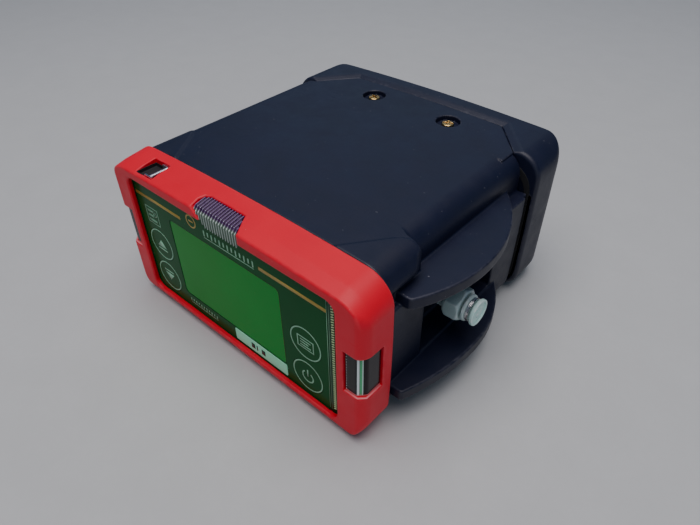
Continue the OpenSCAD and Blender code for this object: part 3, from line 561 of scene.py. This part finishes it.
def bezel(x, y, z):
    form = rmax(bezel_form(x, y, z, 0), y - BEZEL_D, 0.5)
    hollow = rmax(bezel_form(x, y, z, WALL), FACE_T - y, 0.3)
    well = box(x, y, z, (STRAP_LOW[0] - 1.2, -2, STRAP_LOW[2] - 1), (STRAP_HIGH[0] + 1.2, 13.5, 90), 0.5)
    hollow = np.maximum(hollow, -well)
    for post in POSTS:
        hollow = np.maximum(hollow, -rod(x, z, y, post, 4, 5.2, 30))
    field = cut(form, hollow, 0.2)
    half_w, low, high, r = OPENING
    field = cut(field, np.maximum(rect(x, z, (-half_w, low), (half_w, high), r), y - 8), 0.9)
    wx, wy, wz0, wz1 = WINDOW
    window = np.maximum(rect(y, z, (-20, wz0), (wy, wz1), 0.6), wx - np.abs(x))
    field = cut(field, window, 0.45)
    notch = np.maximum(np.maximum(notch_plan(x, y, 0), NOTCH_LOW - z), notch_slope(x, z))
    field = cut(field, notch, 0.8)
    field = cut(field, box(x, y, z, STRAP_LOW, STRAP_HIGH, 0.5), 0.4)
    for post in POSTS:
        field = cut(field, rod(x, z, y, post, 1.6, 7, 40), 0.2)
    return field


def build_bezel():
    low, high = span("front_bezel")
    solid("bezel_shell", bezel, low, high, 0.5, RED, "case", ["front_bezel"], keep=0.4)


# ---------------------------------------------------------------- the housing

def fin(x, y, z, low_z, front, tip_x, reach, rear_radius):
    """A guard fin: a square front end, then two arcs that run back into the case."""
    middle = 62.0
    half_chord = middle - front
    sag = reach - tip_x
    radius = np.where(y < middle, (half_chord ** 2 + sag ** 2) / (2 * sag), rear_radius)
    plan = np.hypot(x - (reach - radius), y - middle) - radius
    plan = rmax(plan, front - y, 1.2)
    plan = np.maximum(plan, np.maximum(y - 114, 64 - x))
    return rmax(plan, slab(z, low_z, low_z + FIN_T), 0.7)


def bumper_plan(x, y):
    """The front corner bumper from above."""
    ax = np.abs(x)
    side = np.maximum(y - 40.5, (y - 36) - (ax - 61) * 0.9)
    side = np.maximum(side, ((y - 29) * 5 - (ax - 56) * 7) / math.hypot(5, 7))
    return np.maximum(side, ((y - BODY_Y) * 8 - (ax - 48) * 11.4) / math.hypot(8, 11.4))


def tongue(x, y, gap):
    """The plan of the top plate that lies over the battery unit."""
    points = [(-62 - gap, 112), (62 + gap, 112), (62 + gap, REAR_Y + gap), (45.5 + gap / 2, 140.5 + gap),
              (-45.5 - gap / 2, 140.5 + gap), (-62 - gap, REAR_Y + gap)]
    return convex(x, y, points)


def housing(x, y, z):
    body = section(x, z, BODY_W, GAP, BODY_HI, EDGE_R - 1)
    lap = rmax(body, slab(y, 100, 140.5), 0.8)
    body = rmax(body, slab(y, BODY_Y, REAR_Y), 0.8)
    core = section(x, z, BODY_W - 2.6, GAP + 1.3, BODY_HI - 0.1, EDGE_R - 2)
    groove = rmax(-core, slab(y, 118.6, 125), 0.6)
    body = cut(body, np.maximum(groove, 66.5 - np.abs(x)), 0.6)
    bumper = section(x, z, BUMPER_W, GAP + 0.2, CASE_H - 0.3, EDGE_R)
    bumper = rmax(rmax(bumper, bumper_plan(x, y), 0.9), BODY_Y - y, 0.8)
    bumper = rmax(bumper, BUMPER_LOW - z, 2.5)
    taper = (np.abs(x) - BUMPER_W / 2 + 0.7 * np.maximum(y - 34, 0)) / 1.2
    bumper = rmax(bumper, taper, 1.5)
    front_y, front_x = SHOULDER_FRONT
    under = np.maximum(slab(z, FIN_Z[1] + 1, BUMPER_LOW + 6), slab(y, front_y, SHOULDER[2] + 6))
    under = np.maximum(front_x - x, under)
    body = cut(body, under, 1.2)
    body = rmin(body, bumper, 1.2)
    edge_x, r, y0, y1 = SHOULDER
    crowned = z + CROWN * (x / (BODY_W / 2)) ** 2
    shoulder = rect(x, crowned, (-200, -100), (edge_x, BODY_HI), r)
    space = np.maximum(np.maximum(-shoulder, FIN_Z[1] + 1 - z), 50 - x)
    space = rmax(space, slab(y, y0, y1), 3.0)
    body = np.maximum(body, -space)
    body = rmin(body, fin(x, y, z, FIN_Z[1], *UPPER_FIN), 0.6)
    body = rmin(body, fin(x, y, z, FIN_Z[0], *LOWER_FIN), 0.6)
    plate = rmax(rmax(lap, tongue(x, y, 0), 0.8), 75.8 - z, 0.5)
    body = np.minimum(body, plate)
    hollow = section(x, z, BODY_W - 2 * WALL, GAP + WALL, BODY_HI - WALL, EDGE_R - 1 - WALL)
    hollow = np.maximum(hollow, slab(y, 10, REAR_Y - WALL))
    inner = rect(x, crowned, (-200, -100), (edge_x - WALL, BODY_HI - WALL), r - WALL)
    hollow = np.maximum(hollow, np.minimum(inner, np.maximum(z - (FIN_Z[1] - 2), y0 - 3 - y)))
    pocket_high = (120, POCKET_HIGH[1] + 2, POCKET_HIGH[2] + 2)
    hollow = np.maximum(hollow, -box(x, y, z, tuple(v - 2 for v in POCKET_LOW), pocket_high, 1))
    hollow = np.maximum(hollow, -box(x, y, z, (front_x - WALL, 0, 62), (120, SHOULDER[2] + 8, 76), 0.5))
    for post in POSTS:
        hollow = np.maximum(hollow, -rod(x, z, y, post, 4, 0, 30))
    body = np.maximum(body, -hollow)
    body = cut(body, box(x, y, z, POCKET_LOW, POCKET_HIGH, 1.6), 0.7)
    body = cut(body, rod(y, z, x, (PORT_Y, PORT_Z), PORT_R, 50, 68), 0.3)
    body = cut(body, rod(y, z, x, (PORT_Y, PORT_Z), PORT_R, -90, -66), 0.3)
    for post in POSTS:
        body = cut(body, rod(x, z, y, post, 1.7, 10, 36), 0.2)
        body = np.maximum(body, -rod(x, z, y, post, 2.5, 30, 34))
    for px in (-FOOT_X, FOOT_X):
        for py in FOOT_Y:
            body = cut(body, rod(x, y, z, (px, py), FOOT_R + 0.1, 0, GAP + 0.6), 0.2)
    for px in (-SCREW_X, SCREW_X):
        body = cut(body, rod(x, y, z, (px, SCREW_Y), 6, HEAD_Z, 90, 0.2), 0.4)
        body = np.maximum(body, -rod(x, y, z, (px, SCREW_Y), 2.2, 60, 90))
    return np.maximum(body, -rod(x, z, y, (-40, 40), 3, 110, 130))


def build_housing():
    low, high = span("main_housing")
    high[0] = max(high[0], LOWER_FIN[2])
    solid("housing_shell", housing, low, high, 0.75, DARK, "case", ["main_housing"])


# ---------------------------------------------------------------- the rear unit

def rear_plan(x, y, inset, r):
    return rect(x, y, (-CASE_W / 2 + inset, 60), (CASE_W / 2 - inset, CASE_D - inset), r)


def rear(x, y, z):
    form = section(x, z, CASE_W, GAP, CASE_H, EDGE_R)
    form = rmax(form, rear_plan(x, y, 0, 15), 1.8)
    form = rmax(form, COVER_Y - y, 2.2)
    hollow = section(x, z, CASE_W - 2 * WALL, GAP + WALL, CASE_H - WALL, EDGE_R - WALL)
    hollow = np.maximum(np.maximum(hollow, rear_plan(x, y, WALL, 15 - WALL)), z - 73)
    hollow = np.maximum(hollow, -box(x, y, z, (64, 100, 60), (120, COVER_Y + WALL, 90), 0.5))
    for px in (-SCREW_X, SCREW_X):
        hollow = np.maximum(hollow, -rod(x, y, z, (px, SCREW_Y), 4, 60, 90))
    hx, hy = HINGE
    for pz in (17.4, 62.6):
        hollow = np.maximum(hollow, -box(x, y, z, (hx - 3, hy - 3, pz), (hx + 3, 160, pz + 4), 0.4))
    field = np.maximum(form, -hollow)
    away = tongue(x, y, 0)
    step = np.maximum(away - 0.3, 75.6 - z)
    rise = 0.42
    slope = ((BODY_HI - 0.7) + rise * away - z - CROWN * (x / 77) ** 2) / math.hypot(1, rise)
    field = cut(field, step, 0.3)
    field = rmax(field, -np.maximum(slope, away - 5.5), 0.35)
    for px in (-SCREW_X, SCREW_X):
        field = np.maximum(field, -rod(x, y, z, (px, SCREW_Y), 2.05, 59, 90))
    low, high = span("battery_door")
    channel = box(x, y, z, (hx - 4.4, 147, low[2] - 0.2), (hx + 2.4, 170, high[2] + 0.2), 0.3)
    field = np.maximum(field, -channel)
    recess = box(x, y, z, (hx, 148.6, low[2] - 0.3), (high[0] + 0.3, 170, high[2] + 0.3), 0.6)
    field = cut(field, recess, 0.5)
    field = cut(field, box(x, y, z, (high[0], 150.6, 36), (high[0] + 4, 170, 48), 0.8), 0.5)
    return np.maximum(field, -rod(x, y, z, HINGE, 1.21, 17, 67))


def build_rear():
    low, high = span("rear_cover")
    solid("rear_shell", rear, low, high, 0.6, DARK, "case", ["rear_cover"])


def door(x, y, z):
    """The battery door: a plate with rounded rims, grip ribs at its free end and a hinge barrel."""
    low, high = span("battery_door")
    plate = box(x, z, y, (HINGE[0], low[2], HINGE[1] + 0.5), (high[0], high[2], high[1]), 0.6)
    panel = box(x, z, y, (-50, low[2] + 5, high[1] - 0.5), (36, high[2] - 5, 160), 0.3)
    plate = cut(plate, panel, 0.3)
    for i in range(5):
        at = 43 + 2.4 * i
        plate = cut(plate, box(x, z, y, (at, 33, high[1] - 0.7), (at + 1.1, 51, 160), 0.3), 0.3)
    barrel = rod(x, y, z, HINGE, 1.9, low[2], high[2], 0.2)
    return np.maximum(rmin(plate, barrel, 0.3), -rod(x, y, z, HINGE, 1.26, 0, 90))


def build_door():
    low, high = span("battery_door")
    solid("door_plate", door, low, high, 0.42, DARK, "battery_door", ["battery_door"])


# ---------------------------------------------------------------- lamps

RIB = 1.6


def top_lens(x, y, z):
    """The top lamp's lens: its ribs run up the front face and back over the top."""
    profile = convex(y, z, [(0.9, 70.4), (NOTCH_Y, 76.8), (NOTCH_Y, 79.3), (2.6, 77.9), (0.9, 76.2)])
    field = rmax(rmax(profile, notch_plan(x, y, 0.2), 0.4), notch_slope(x, z) + 0.2, 0.3)
    ridge = np.abs((x + RIB / 2) % RIB - RIB / 2)
    return field + 0.28 * np.cos(ridge / RIB * 2 * math.pi)


def corner_lens(side):
    wx, wy, wz0, wz1 = WINDOW
    gap, out = 0.15, 1.2

    def field(x, y, z):
        ax = x * side
        face = CASE_W / 2 - out
        chamfer = ax - face + 3 - (y - out)
        outer = rmax(rmax(ax - face, out - y, 0.3), chamfer / math.sqrt(2), 0.5)
        inner = rmax(rmax(ax - face + 1.6, out + 1.6 - y, 0.3), (chamfer + 1.6) / math.sqrt(2), 0.5)
        sheet = np.maximum(outer, -inner)
        bounds = np.maximum(slab(z, wz0 + gap, wz1 - gap), np.maximum(wx + gap - ax, y - wy + gap))
        return rmax(sheet, bounds, 0.25)

    return field


def beads(name, places, radius, material, body="case", stretch=(1, 1, 1)):
    """Small rounded beads, all in one mesh, used as painted highlight dots."""
    rings, turns = 5, 8
    ball = [(0, 0, 1.0)]
    for i in range(1, rings):
        a = math.pi * i / rings
        spin = [2 * math.pi * j / turns for j in range(turns)]
        ball += [(math.sin(a) * math.cos(b), math.sin(a) * math.sin(b), math.cos(a)) for b in spin]
    ball.append((0, 0, -1.0))
    faces = []
    for j in range(turns):
        k = (j + 1) % turns
        faces.append((0, 1 + j, 1 + k))
        for i in range(rings - 2):
            a = 1 + i * turns
            faces += [(a + j, a + turns + j, a + turns + k), (a + j, a + turns + k, a + k)]
        a = 1 + (rings - 2) * turns
        faces.append((a + j, len(ball) - 1, a + k))
    ball = np.array(ball) * radius * np.array(stretch)
    faces = np.array(faces)
    points = np.concatenate([ball + np.array(p) for p in places])
    tris = np.concatenate([faces + i * len(ball) for i in range(len(places))])
    mesh = mesh_from(name, points, tris)
    mesh.polygons.foreach_set("use_smooth", [True] * len(mesh.polygons))
    return own(name, mesh, material, body)


def build_lamps():
    low, high = span("lamp_lens_top")
    solid("top_lens", top_lens, low - 0.5, high + 0.5, 0.3, TOP_LENS, "case",
          ["lamp_lens_top"], keep=0.6)
    # pale beads as painted highlights where the top lens's ribs round over the edge
    ribs = [RIB * (i + 0.5) for i in range(-8, 7)]
    rows = [(x, y, z) for x in ribs for y, z in ((1.15, 76.55), (2.5, 77.85))]
    beads("top_lens_glints", rows, 0.26, GLINT)
    wx, wy, wz0, wz1 = WINDOW
    for side, label in ((-1, "left"), (1, "right")):
        x0, x1 = sorted((side * (wx - 0.3), side * (CASE_W / 2 - 0.8)))
        solid(f"{label}_lens", corner_lens(side), (x0, 0.6, wz0 - 0.3), (x1, wy + 0.3, wz1 + 0.3), 0.35,
              CORNER_LENS, "case", [f"lamp_lens_{label}"], keep=0.5)
        # a column of pale beads as painted highlights on the corner lens's ribs
        column = [(side * (wx + 0.8), 1.25, wz0 + 1 + 1.5 * i) for i in range(14)]
        beads(f"{label}_lens_glints", column, 0.22, GLINT)


# ---------------------------------------------------------------- the gas inlet

def hexagon(u, v, flats):
    field = None
    for i in range(3):
        a = math.radians(60 * i)
        side = np.abs(u * math.cos(a) + v * math.sin(a)) - flats / 2
        field = side if field is None else rmax(field, side, 0.4)
    return field


RING_X = span("inlet_ring")[0][0], span("inlet_ring")[1][0]


def nut(x, y, z):
    low, high = span("inlet_nut")
    u, v = y - PORT_Y, z - PORT_Z
    radial = np.hypot(u, v)
    form = rmax(hexagon(u, v, high[1] - low[1]), slab(x, low[0], high[0]), 0.4)
    form = rmax(form, (radial - 7.9 + (low[0] + 2.2 - x)) / math.sqrt(2), 0.6)
    form = rmax(form, (radial - 7.7 - (high[0] - 0.9 - x)) / math.sqrt(2), 0.4)
    bore = np.maximum(radial - 5.06, x - 81.1)
    return np.maximum(form, -np.minimum(bore, radial - 3.66))


def connector(x, y, z):
    radial = np.hypot(y - PORT_Y, z - PORT_Z)
    low, high = span("inlet_connector")
    stem = rmax(radial - 3.6, slab(x, low[0], 83.2), 0.2)
    shoulder = rmax(radial - 4.9, slab(x, low[0], low[0] + 1.95), 0.3)
    flange = rmax(radial - 6.2, slab(x, 83, RING_X[0] - 0.03), 0.3)
    flange = rmax(flange, (radial - 6.3 + (x - 83.3) * 0.5) / 1.12, 0.3)
    spigot = rmax(radial - 3.4, slab(x, 83, high[0]), 0.3)
    form = np.minimum(np.minimum(stem, shoulder), np.minimum(flange, spigot))
    return np.maximum(form, 1.8 - radial)


def cap(x, y, z):
    """The end cap: a disc with a rounded rim and a shallow dished face."""
    radial = np.hypot(y - PORT_Y, z - PORT_Z)
    low, high = span("inlet_cap")
    form = rmax(radial - 6.1, slab(x, low[0], high[0]), 0.35)
    form = rmax(form, (radial - 4.4 - (x - low[0]) * 1.5) / 1.8, 0.3)
    form = cut(form, np.maximum(radial - 5.0, high[0] - 0.55 - x), 0.25)
    form = rmin(form, rmax(radial - 2.0, slab(x, high[0] - 0.8, high[0] - 0.25), 0.1), 0.2)
    return np.maximum(form, -np.maximum(radial - 3.46, x - high[0] + 1.05))


def ring(x, y, z):
    """The bright ring between the connector's flange and the cap, with a shallow groove round it."""
    radial = np.hypot(y - PORT_Y, z - PORT_Z)
    low, high = RING_X
    form = rmax(radial - 5.25, slab(x, low, high), 0.15)
    for at in (0.35, 0.7):
        form = cut(form, np.hypot(radial - 5.3, x - low - at * (high - low)) - 0.14, 0.05)
    return np.maximum(form, 3.42 - radial)


def outlet_nut(x, y, z):
    low, high = span("outlet_nut")
    u, v = y - PORT_Y, z - PORT_Z
    radial = np.hypot(u, v)
    form = rmax(hexagon(u, v, high[1] - low[1]), slab(x, low[0], high[0]), 0.4)
    form = rmax(form, (radial - 8.6 - (x - low[0])) / math.sqrt(2), 0.3)
    return np.maximum(form, 5.06 - radial)


def build_fittings():
    for name, field, body, node in (
        ("nut_hex", nut, "inlet_nut", "inlet_nut"),
        ("connector_turned", connector, "case", "inlet_connector"),
        ("cap_disc", cap, "inlet_cap", "inlet_cap"),
        ("outlet_hex", outlet_nut, "case", "outlet_nut"),
    ):
        low, high = span(node)
        skin = DISC if node == "inlet_cap" else FROST
        solid(name, field, low, high, 0.28, skin, body, [node], keep=0.5)
    low, high = span("inlet_ring")
    low[0], high[0] = RING_X
    solid("ring_turned", ring, low, high, 0.16, STEEL, "case", ["inlet_ring"], keep=0.4)


# ---------------------------------------------------------------- screws and feet

def screws(x, y, z):
    ax = np.abs(x) - SCREW_X
    v = y - SCREW_Y
    radial = np.hypot(ax, v)
    head = rmax(radial - 3.1, slab(z, HEAD_Z, HEAD_Z + 2.0 - 0.05 * radial ** 2), 0.5)
    for a in (0.4, 0.4 + math.pi / 2):
        across = np.abs(ax * math.cos(a) + v * math.sin(a)) - 0.45
        head = cut(head, np.maximum(np.maximum(across, radial - 2.3), HEAD_Z + 0.9 - z), 0.12)
    shank = rod(ax, v, z, (0, 0), 2, 61, HEAD_Z + 0.2)
    return np.minimum(head, shank)


def feet(x, y, z):
    middle, half = sum(FOOT_Y) / 2, (FOOT_Y[1] - FOOT_Y[0]) / 2
    radial = np.hypot(np.abs(x) - FOOT_X, np.abs(y - middle) - half)
    pad = rmax(radial - FOOT_R, slab(z, 0, 2.5), 0.6)
    return cut(pad, np.maximum(np.abs(radial - 3.6) - 0.5, z - 0.35), 0.15)


def build_trim():
    low, high = span("top_screws")
    solid("screw_heads", screws, low, high, 0.3, BRASS, "case", ["top_screws"], keep=0.5)
    low, high = span("feet")
    solid("rubber_feet", feet, low, high, 0.35, RUBBER, "case", ["feet"], keep=0.4)


# ---------------------------------------------------------------- prints on the panel

PRINT_T = 0.04


def plate(name, outlines, y, material, slot, body="case", thick=PRINT_T):
    """Thin inlays that stand off the panel.

    Each outline is a convex loop, or an outer and an inner loop.
    """
    points, faces = [], []
    for outline in outlines:
        loops = outline if isinstance(outline[0][0], (tuple, list, np.ndarray)) else [outline]
        start, n = len(points), len(loops[0])
        for depth in (0, -thick):
            for loop in loops:
                points += [(px, y + depth, pz) for px, pz in loop]
        size = n * len(loops)
        if len(loops) == 1:
            for i in range(1, n - 1):
                faces.append((start + size, start + size + i + 1, start + size + i))
                faces.append((start, start + i, start + i + 1))
        for i in range(n):
            j = (i + 1) % n
            if len(loops) == 2:
                a, b, c, d = start + size + i, start + size + j, start + size + n + j, start + size + n + i
                faces += [(a, c, b), (a, d, c)]
                faces += [(a - size, b - size, c - size), (a - size, c - size, d - size)]
            for k in range(len(loops)):
                p, q = start + k * n + i, start + k * n + j
                wall = [(p, q + size, q), (p, p + size, q + size)]
                faces += wall if k == 0 else [face[::-1] for face in wall]
    mesh = mesh_from(name, np.array(points, float), np.array(faces))
    return own(name, mesh, material, body)


def around(cx, cz, r, degrees):
    """A point on a circle."""
    t = math.radians(degrees)
    return cx + r * math.cos(t), cz + r * math.sin(t)


def circle(cx, cz, r, n=48):
    return [around(cx, cz, r, 360 * i / n) for i in range(n)]


def annulus(cx, cz, r, width, n=64):
    return [circle(cx, cz, r, n), circle(cx, cz, r - width, n)]


def bar(x0, z0, x1, z1, r=0.0):
    if not r:
        return [(x0, z0), (x1, z0), (x1, z1), (x0, z1)]
    corners = ((x1 - r, z1 - r), (x0 + r, z1 - r), (x0 + r, z0 + r), (x1 - r, z0 + r))
    return [around(cx, cz, r, 90 * k + 15 * i) for k, (cx, cz) in enumerate(corners) for i in range(7)]


def arc_band(cx, cz, r, width, a0, a1, steps=24):
    """An open ring, as a row of four-cornered pieces."""
    out = []
    for i in range(steps):
        a, b = (a0 + (a1 - a0) * k / steps for k in (i, i + 1))
        out.append([around(cx, cz, r, t) for t in (a, b)] + [around(cx, cz, r - width, t) for t in (b, a)])
    return out


def key_marks(cx, cz, kind):
    """A generic pictogram for a key."""
    half = 3.6
    if kind == "up":
        arrow = [(cx - half, cz - 1.6), (cx + half, cz - 1.6), (cx, cz + 2.6)]
        return [arrow, bar(cx - half, cz - 3.4, cx + half, cz - 2.6)]
    if kind == "down":
        arrow = [(cx, cz - 2.6), (cx + half, cz + 1.6), (cx - half, cz + 1.6)]
        return [arrow, bar(cx - half, cz + 2.6, cx + half, cz + 3.4)]
    if kind == "display":
        rows = []
        for i in range(3):
            z = cz - 1.9 + 1.5 * i
            rows.append(bar(cx - 2.9, z, cx + 2.9 - 1.2 * (i % 2), z + 0.6))
        outer, inner = (bar(cx - a, cz - b, cx + a, cz + b) for a, b in ((4.6, 3.2), (4.1, 2.7)))
        return rows + [[outer, inner]]
    return arc_band(cx, cz - 0.4, 3.4, 0.7, 125, 415) + [bar(cx - 0.35, cz - 0.2, cx + 0.35, cz + 4.0)]


def build_prints():
    for kind in ("up", "down", "display", "power"):
        node = f"key_{kind}"
        low, high = span(node)
        cx, cz = (low[0] + high[0]) / 2, (low[2] + high[2]) / 2
        marks = [annulus(cx, cz, KEY_R - 0.25, 0.6)] + key_marks(cx, cz, kind)
        plate(f"{node}_print", marks, low[1], PALE, "panel_print", body=node)
    y = PANEL_Y
    stripes = [bar(x0, 62.9, x1, 64.6) for x0, x1 in ((-63.2, -29), (21.3, 57.3))]
    plate("gold_stripes", stripes, y, GOLD, "panel_print")
    emblem = [annulus(-21, 66, 3.4, 0.7)] + [bar(-22.6, 65.6, -19.4, 66.4)]
    plate("emblem_ring", emblem, y, GOLD, "panel_print")
    ticks = [bar(-13 + 2.55 * i, 62.3 + 0.7 * (i % 2), -12.2 + 2.55 * i, 65.4) for i in range(13)]
    plate("title_ticks", ticks + [bar(-13, 61.4, 18.4, 61.75)], y, PALE, "panel_print")
    ticks = [bar(-36.5 + 2.0 * i, 10.7 + 0.5 * (i % 2), -35.9 + 2.0 * i, 12.6) for i in range(11)]
    plate("lower_ticks", ticks + [bar(-36.5, 9.9, -15.9, 10.2)], y, PALE, "panel_print")
    square = [[bar(-58, 49.2, -48.4, 58.6), bar(-57.5, 49.7, -48.9, 58.1)]]
    square += [bar(-56.6, 50.6 + 2.5 * i, -56.6 + (6.0, 4.2, 6.8)[i], 51.8 + 2.5 * i) for i in range(3)]
    square += [annulus(-51.0, 55.4, 1.5, 0.5, 24)]
    plate("side_pictogram", square, y, DIM, "panel_print")
    plate("edge_line", [bar(57.2, 8, 57.4, 72)], y, PALE, "panel_print")
    low, high = span("label_strip")
    middle = (low[2] + high[2]) / 2
    marks = []
    for i, width in enumerate((2.4, 0.8, 2.4)):
        left = low[0] + 11 + 3.4 * i
        marks.append(bar(left, middle - 1.5, left + width, middle + 1.5))
    plate("label_marks", marks, low[1], INK, "label")
    low, high = span("lcd_window")
    rings = [bar(low[0] - d, low[2] - d, high[0] + d, high[2] + d, r) for d, r in ((0.1, 2.5), (-0.5, 2.1))]
    plate("lcd_border", [rings], low[1], PANEL, "panel_print")


def build_diffuser_ribs():
    """The bright toothed ribs along the clear strip at the panel's right-hand end; their pale colour is a
    painted highlight.
    """
    pitch = 1.3
    teeth = []
    for i in range(47):
        z = 9.0 + pitch * i
        teeth.append([(59.5, z), (60.9, z + 0.5), (60.9, z + 1.15), (59.5, z + 0.65)])
    face = span("side_diffuser")[0][1]
    plate("diffuser_ribs", teeth, face, TOOTH, "clear_plastic", thick=0.12)
    lines = [bar(x, 7.6, x + 0.16, 71.6) for x in (58.3, 61.3)]
    plate("diffuser_lines", lines, face, DIM, "clear_plastic", thick=0.06)


def strap_shadow_sheet(x, y, z):
    """A thin black sheet in the strap recess, painted shade where the recess opens into the dark interior;
    the hook bar stands over it.
    """
    low, high = STRAP_LOW, (STRAP_HIGH[0], STRAP_HIGH[1], 77.3)
    outer = box(x, y, z, tuple(v + 0.02 for v in low), (high[0] - 0.02, high[1] - 0.02, high[2]), 0.3)
    inner_low = (low[0] + 0.4, low[1] + 0.4, low[2] + 0.75)
    inner_high = (high[0] - 0.4, high[1] - 0.4, STRAP_HIGH[2])
    return np.maximum(outer, -box(x, y, z, inner_low, inner_high, 0.3))


def ledge_highlight_strip(name, side):
    """A pale strip on the inner ledge under a corner lens, which follows the chamfered corner: a painted
    highlight where the ledge catches the light.
    """
    out = CASE_W / 2
    outer = [(WINDOW[0] + 0.3, 0.35), (out - 3.0, 0.35), (out - 0.35, 3.0), (out - 0.35, WINDOW[1] - 0.4)]
    inner = [(WINDOW[0] + 0.3, 1.15), (out - 3.3, 1.15), (out - 1.15, 3.3), (out - 1.15, WINDOW[1] - 0.4)]
    points = [(side * a, b, WINDOW[2] + h) for h in (0.02, 0.1) for loop in (outer, inner) for a, b in loop]
    faces = []
    for i in range(3):
        a, b, c, d = i, i + 1, i + 5, i + 4
        faces += [(a, c, b), (a, d, c), (a + 8, b + 8, c + 8), (a + 8, c + 8, d + 8)]
        faces += [(a, b, b + 8), (a, b + 8, a + 8), (d, c + 8, c), (d, d + 8, c + 8)]
    faces += [(0, 8, 12), (0, 12, 4), (3, 7, 15), (3, 15, 11)]
    if side < 0:
        faces = [face[::-1] for face in faces]
    own(name, mesh_from(name, np.array(points, float), np.array(faces)), LEDGE, "case")


def build_strap_shadow_sheet():
    # a black sheet as painted shade in the strap recess
    solid("strap_shadow", strap_shadow_sheet, STRAP_LOW, (*STRAP_HIGH[:2], 77.4), 0.2, BLACK, "case",
          keep=0.2)


# ---------------------------------------------------------------- stage, light and camera

def area(name, place, aim, size, power, colour):
    light = bpy.data.lights.new(name, "AREA")
    light.size = size
    light.energy = power
    light.color = colour
    obj = bpy.data.objects.new(name, light)
    obj.location = place
    obj.rotation_euler = (Vector(aim) - Vector(place)).to_track_quat("-Z", "Y").to_euler()
    bpy.context.scene.collection.objects.link(obj)


def build_stage():
    mesh = bpy.data.meshes.new("floor")
    reach = 6.0
    corners = [(a * reach, b * reach, 0) for a, b in ((-1, -1), (1, -1), (1, 1), (-1, 1))]
    mesh.from_pydata(corners, [], [(0, 1, 2, 3)])
    floor = bpy.data.objects.new("floor", mesh)
    bpy.context.scene.collection.objects.link(floor)
    mesh.materials.append(finish("floor_pale", (0.50, 0.51, 0.50), 0.8, grain=0.3, bump=0.01, vary=0.02))
    world = bpy.data.worlds.new("studio")
    bpy.context.scene.world = world
    world.use_nodes = True
    sky = world.node_tree.nodes["Background"]
    sky.inputs["Color"].default_value = (0.42, 0.62, 1.0, 1)
    sky.inputs["Strength"].default_value = 0.16
    area("window_light", (-0.55, 0.75, 0.75), (0, 0, 0.05), 0.9, 0.8, (0.75, 0.88, 1.0))
    area("top_light", (0.06, -0.14, 1.1), (0, 0, 0.05), 1.0, 13, (1.0, 0.94, 0.95))
    area("side_fill", (0.9, -0.6, 0.35), (0, 0, 0.04), 0.6, 0.6, (0.9, 1.0, 0.93))


def build_camera():
    camera = bpy.data.cameras.new("camera")
    camera.sensor_width = 36
    camera.lens = 29.51
    obj = bpy.data.objects.new("camera", camera)
    yaw, pitch, roll = (math.radians(a) for a in (41.66, 39.89, -0.39))
    ahead = Vector((-math.sin(yaw) * math.cos(pitch), math.cos(yaw) * math.cos(pitch), -math.sin(pitch)))
    right = ahead.cross(Vector((0, 0, 1))).normalized()
    up = right.cross(ahead)
    right, up = (right * math.cos(roll) + up * math.sin(roll), up * math.cos(roll) - right * math.sin(roll))
    place = Vector((159.84, -99.62, 207.25)) * MM + Vector(ORIGIN)
    obj.matrix_world = Matrix.Translation(place) @ Matrix((right, up, -ahead)).transposed().to_4x4()
    bpy.context.scene.collection.objects.link(obj)
    bpy.context.scene.camera = obj


build_camera()
build_stage()
dress_cad()
build_bezel()
build_housing()
build_rear()
build_door()
build_lamps()
build_fittings()
build_trim()
build_prints()
build_diffuser_ribs()
build_strap_shadow_sheet()
# pale strips as painted highlights on both window ledges
ledge_highlight_strip("ledge_highlight_left", -1)
ledge_highlight_strip("ledge_highlight_right", 1)
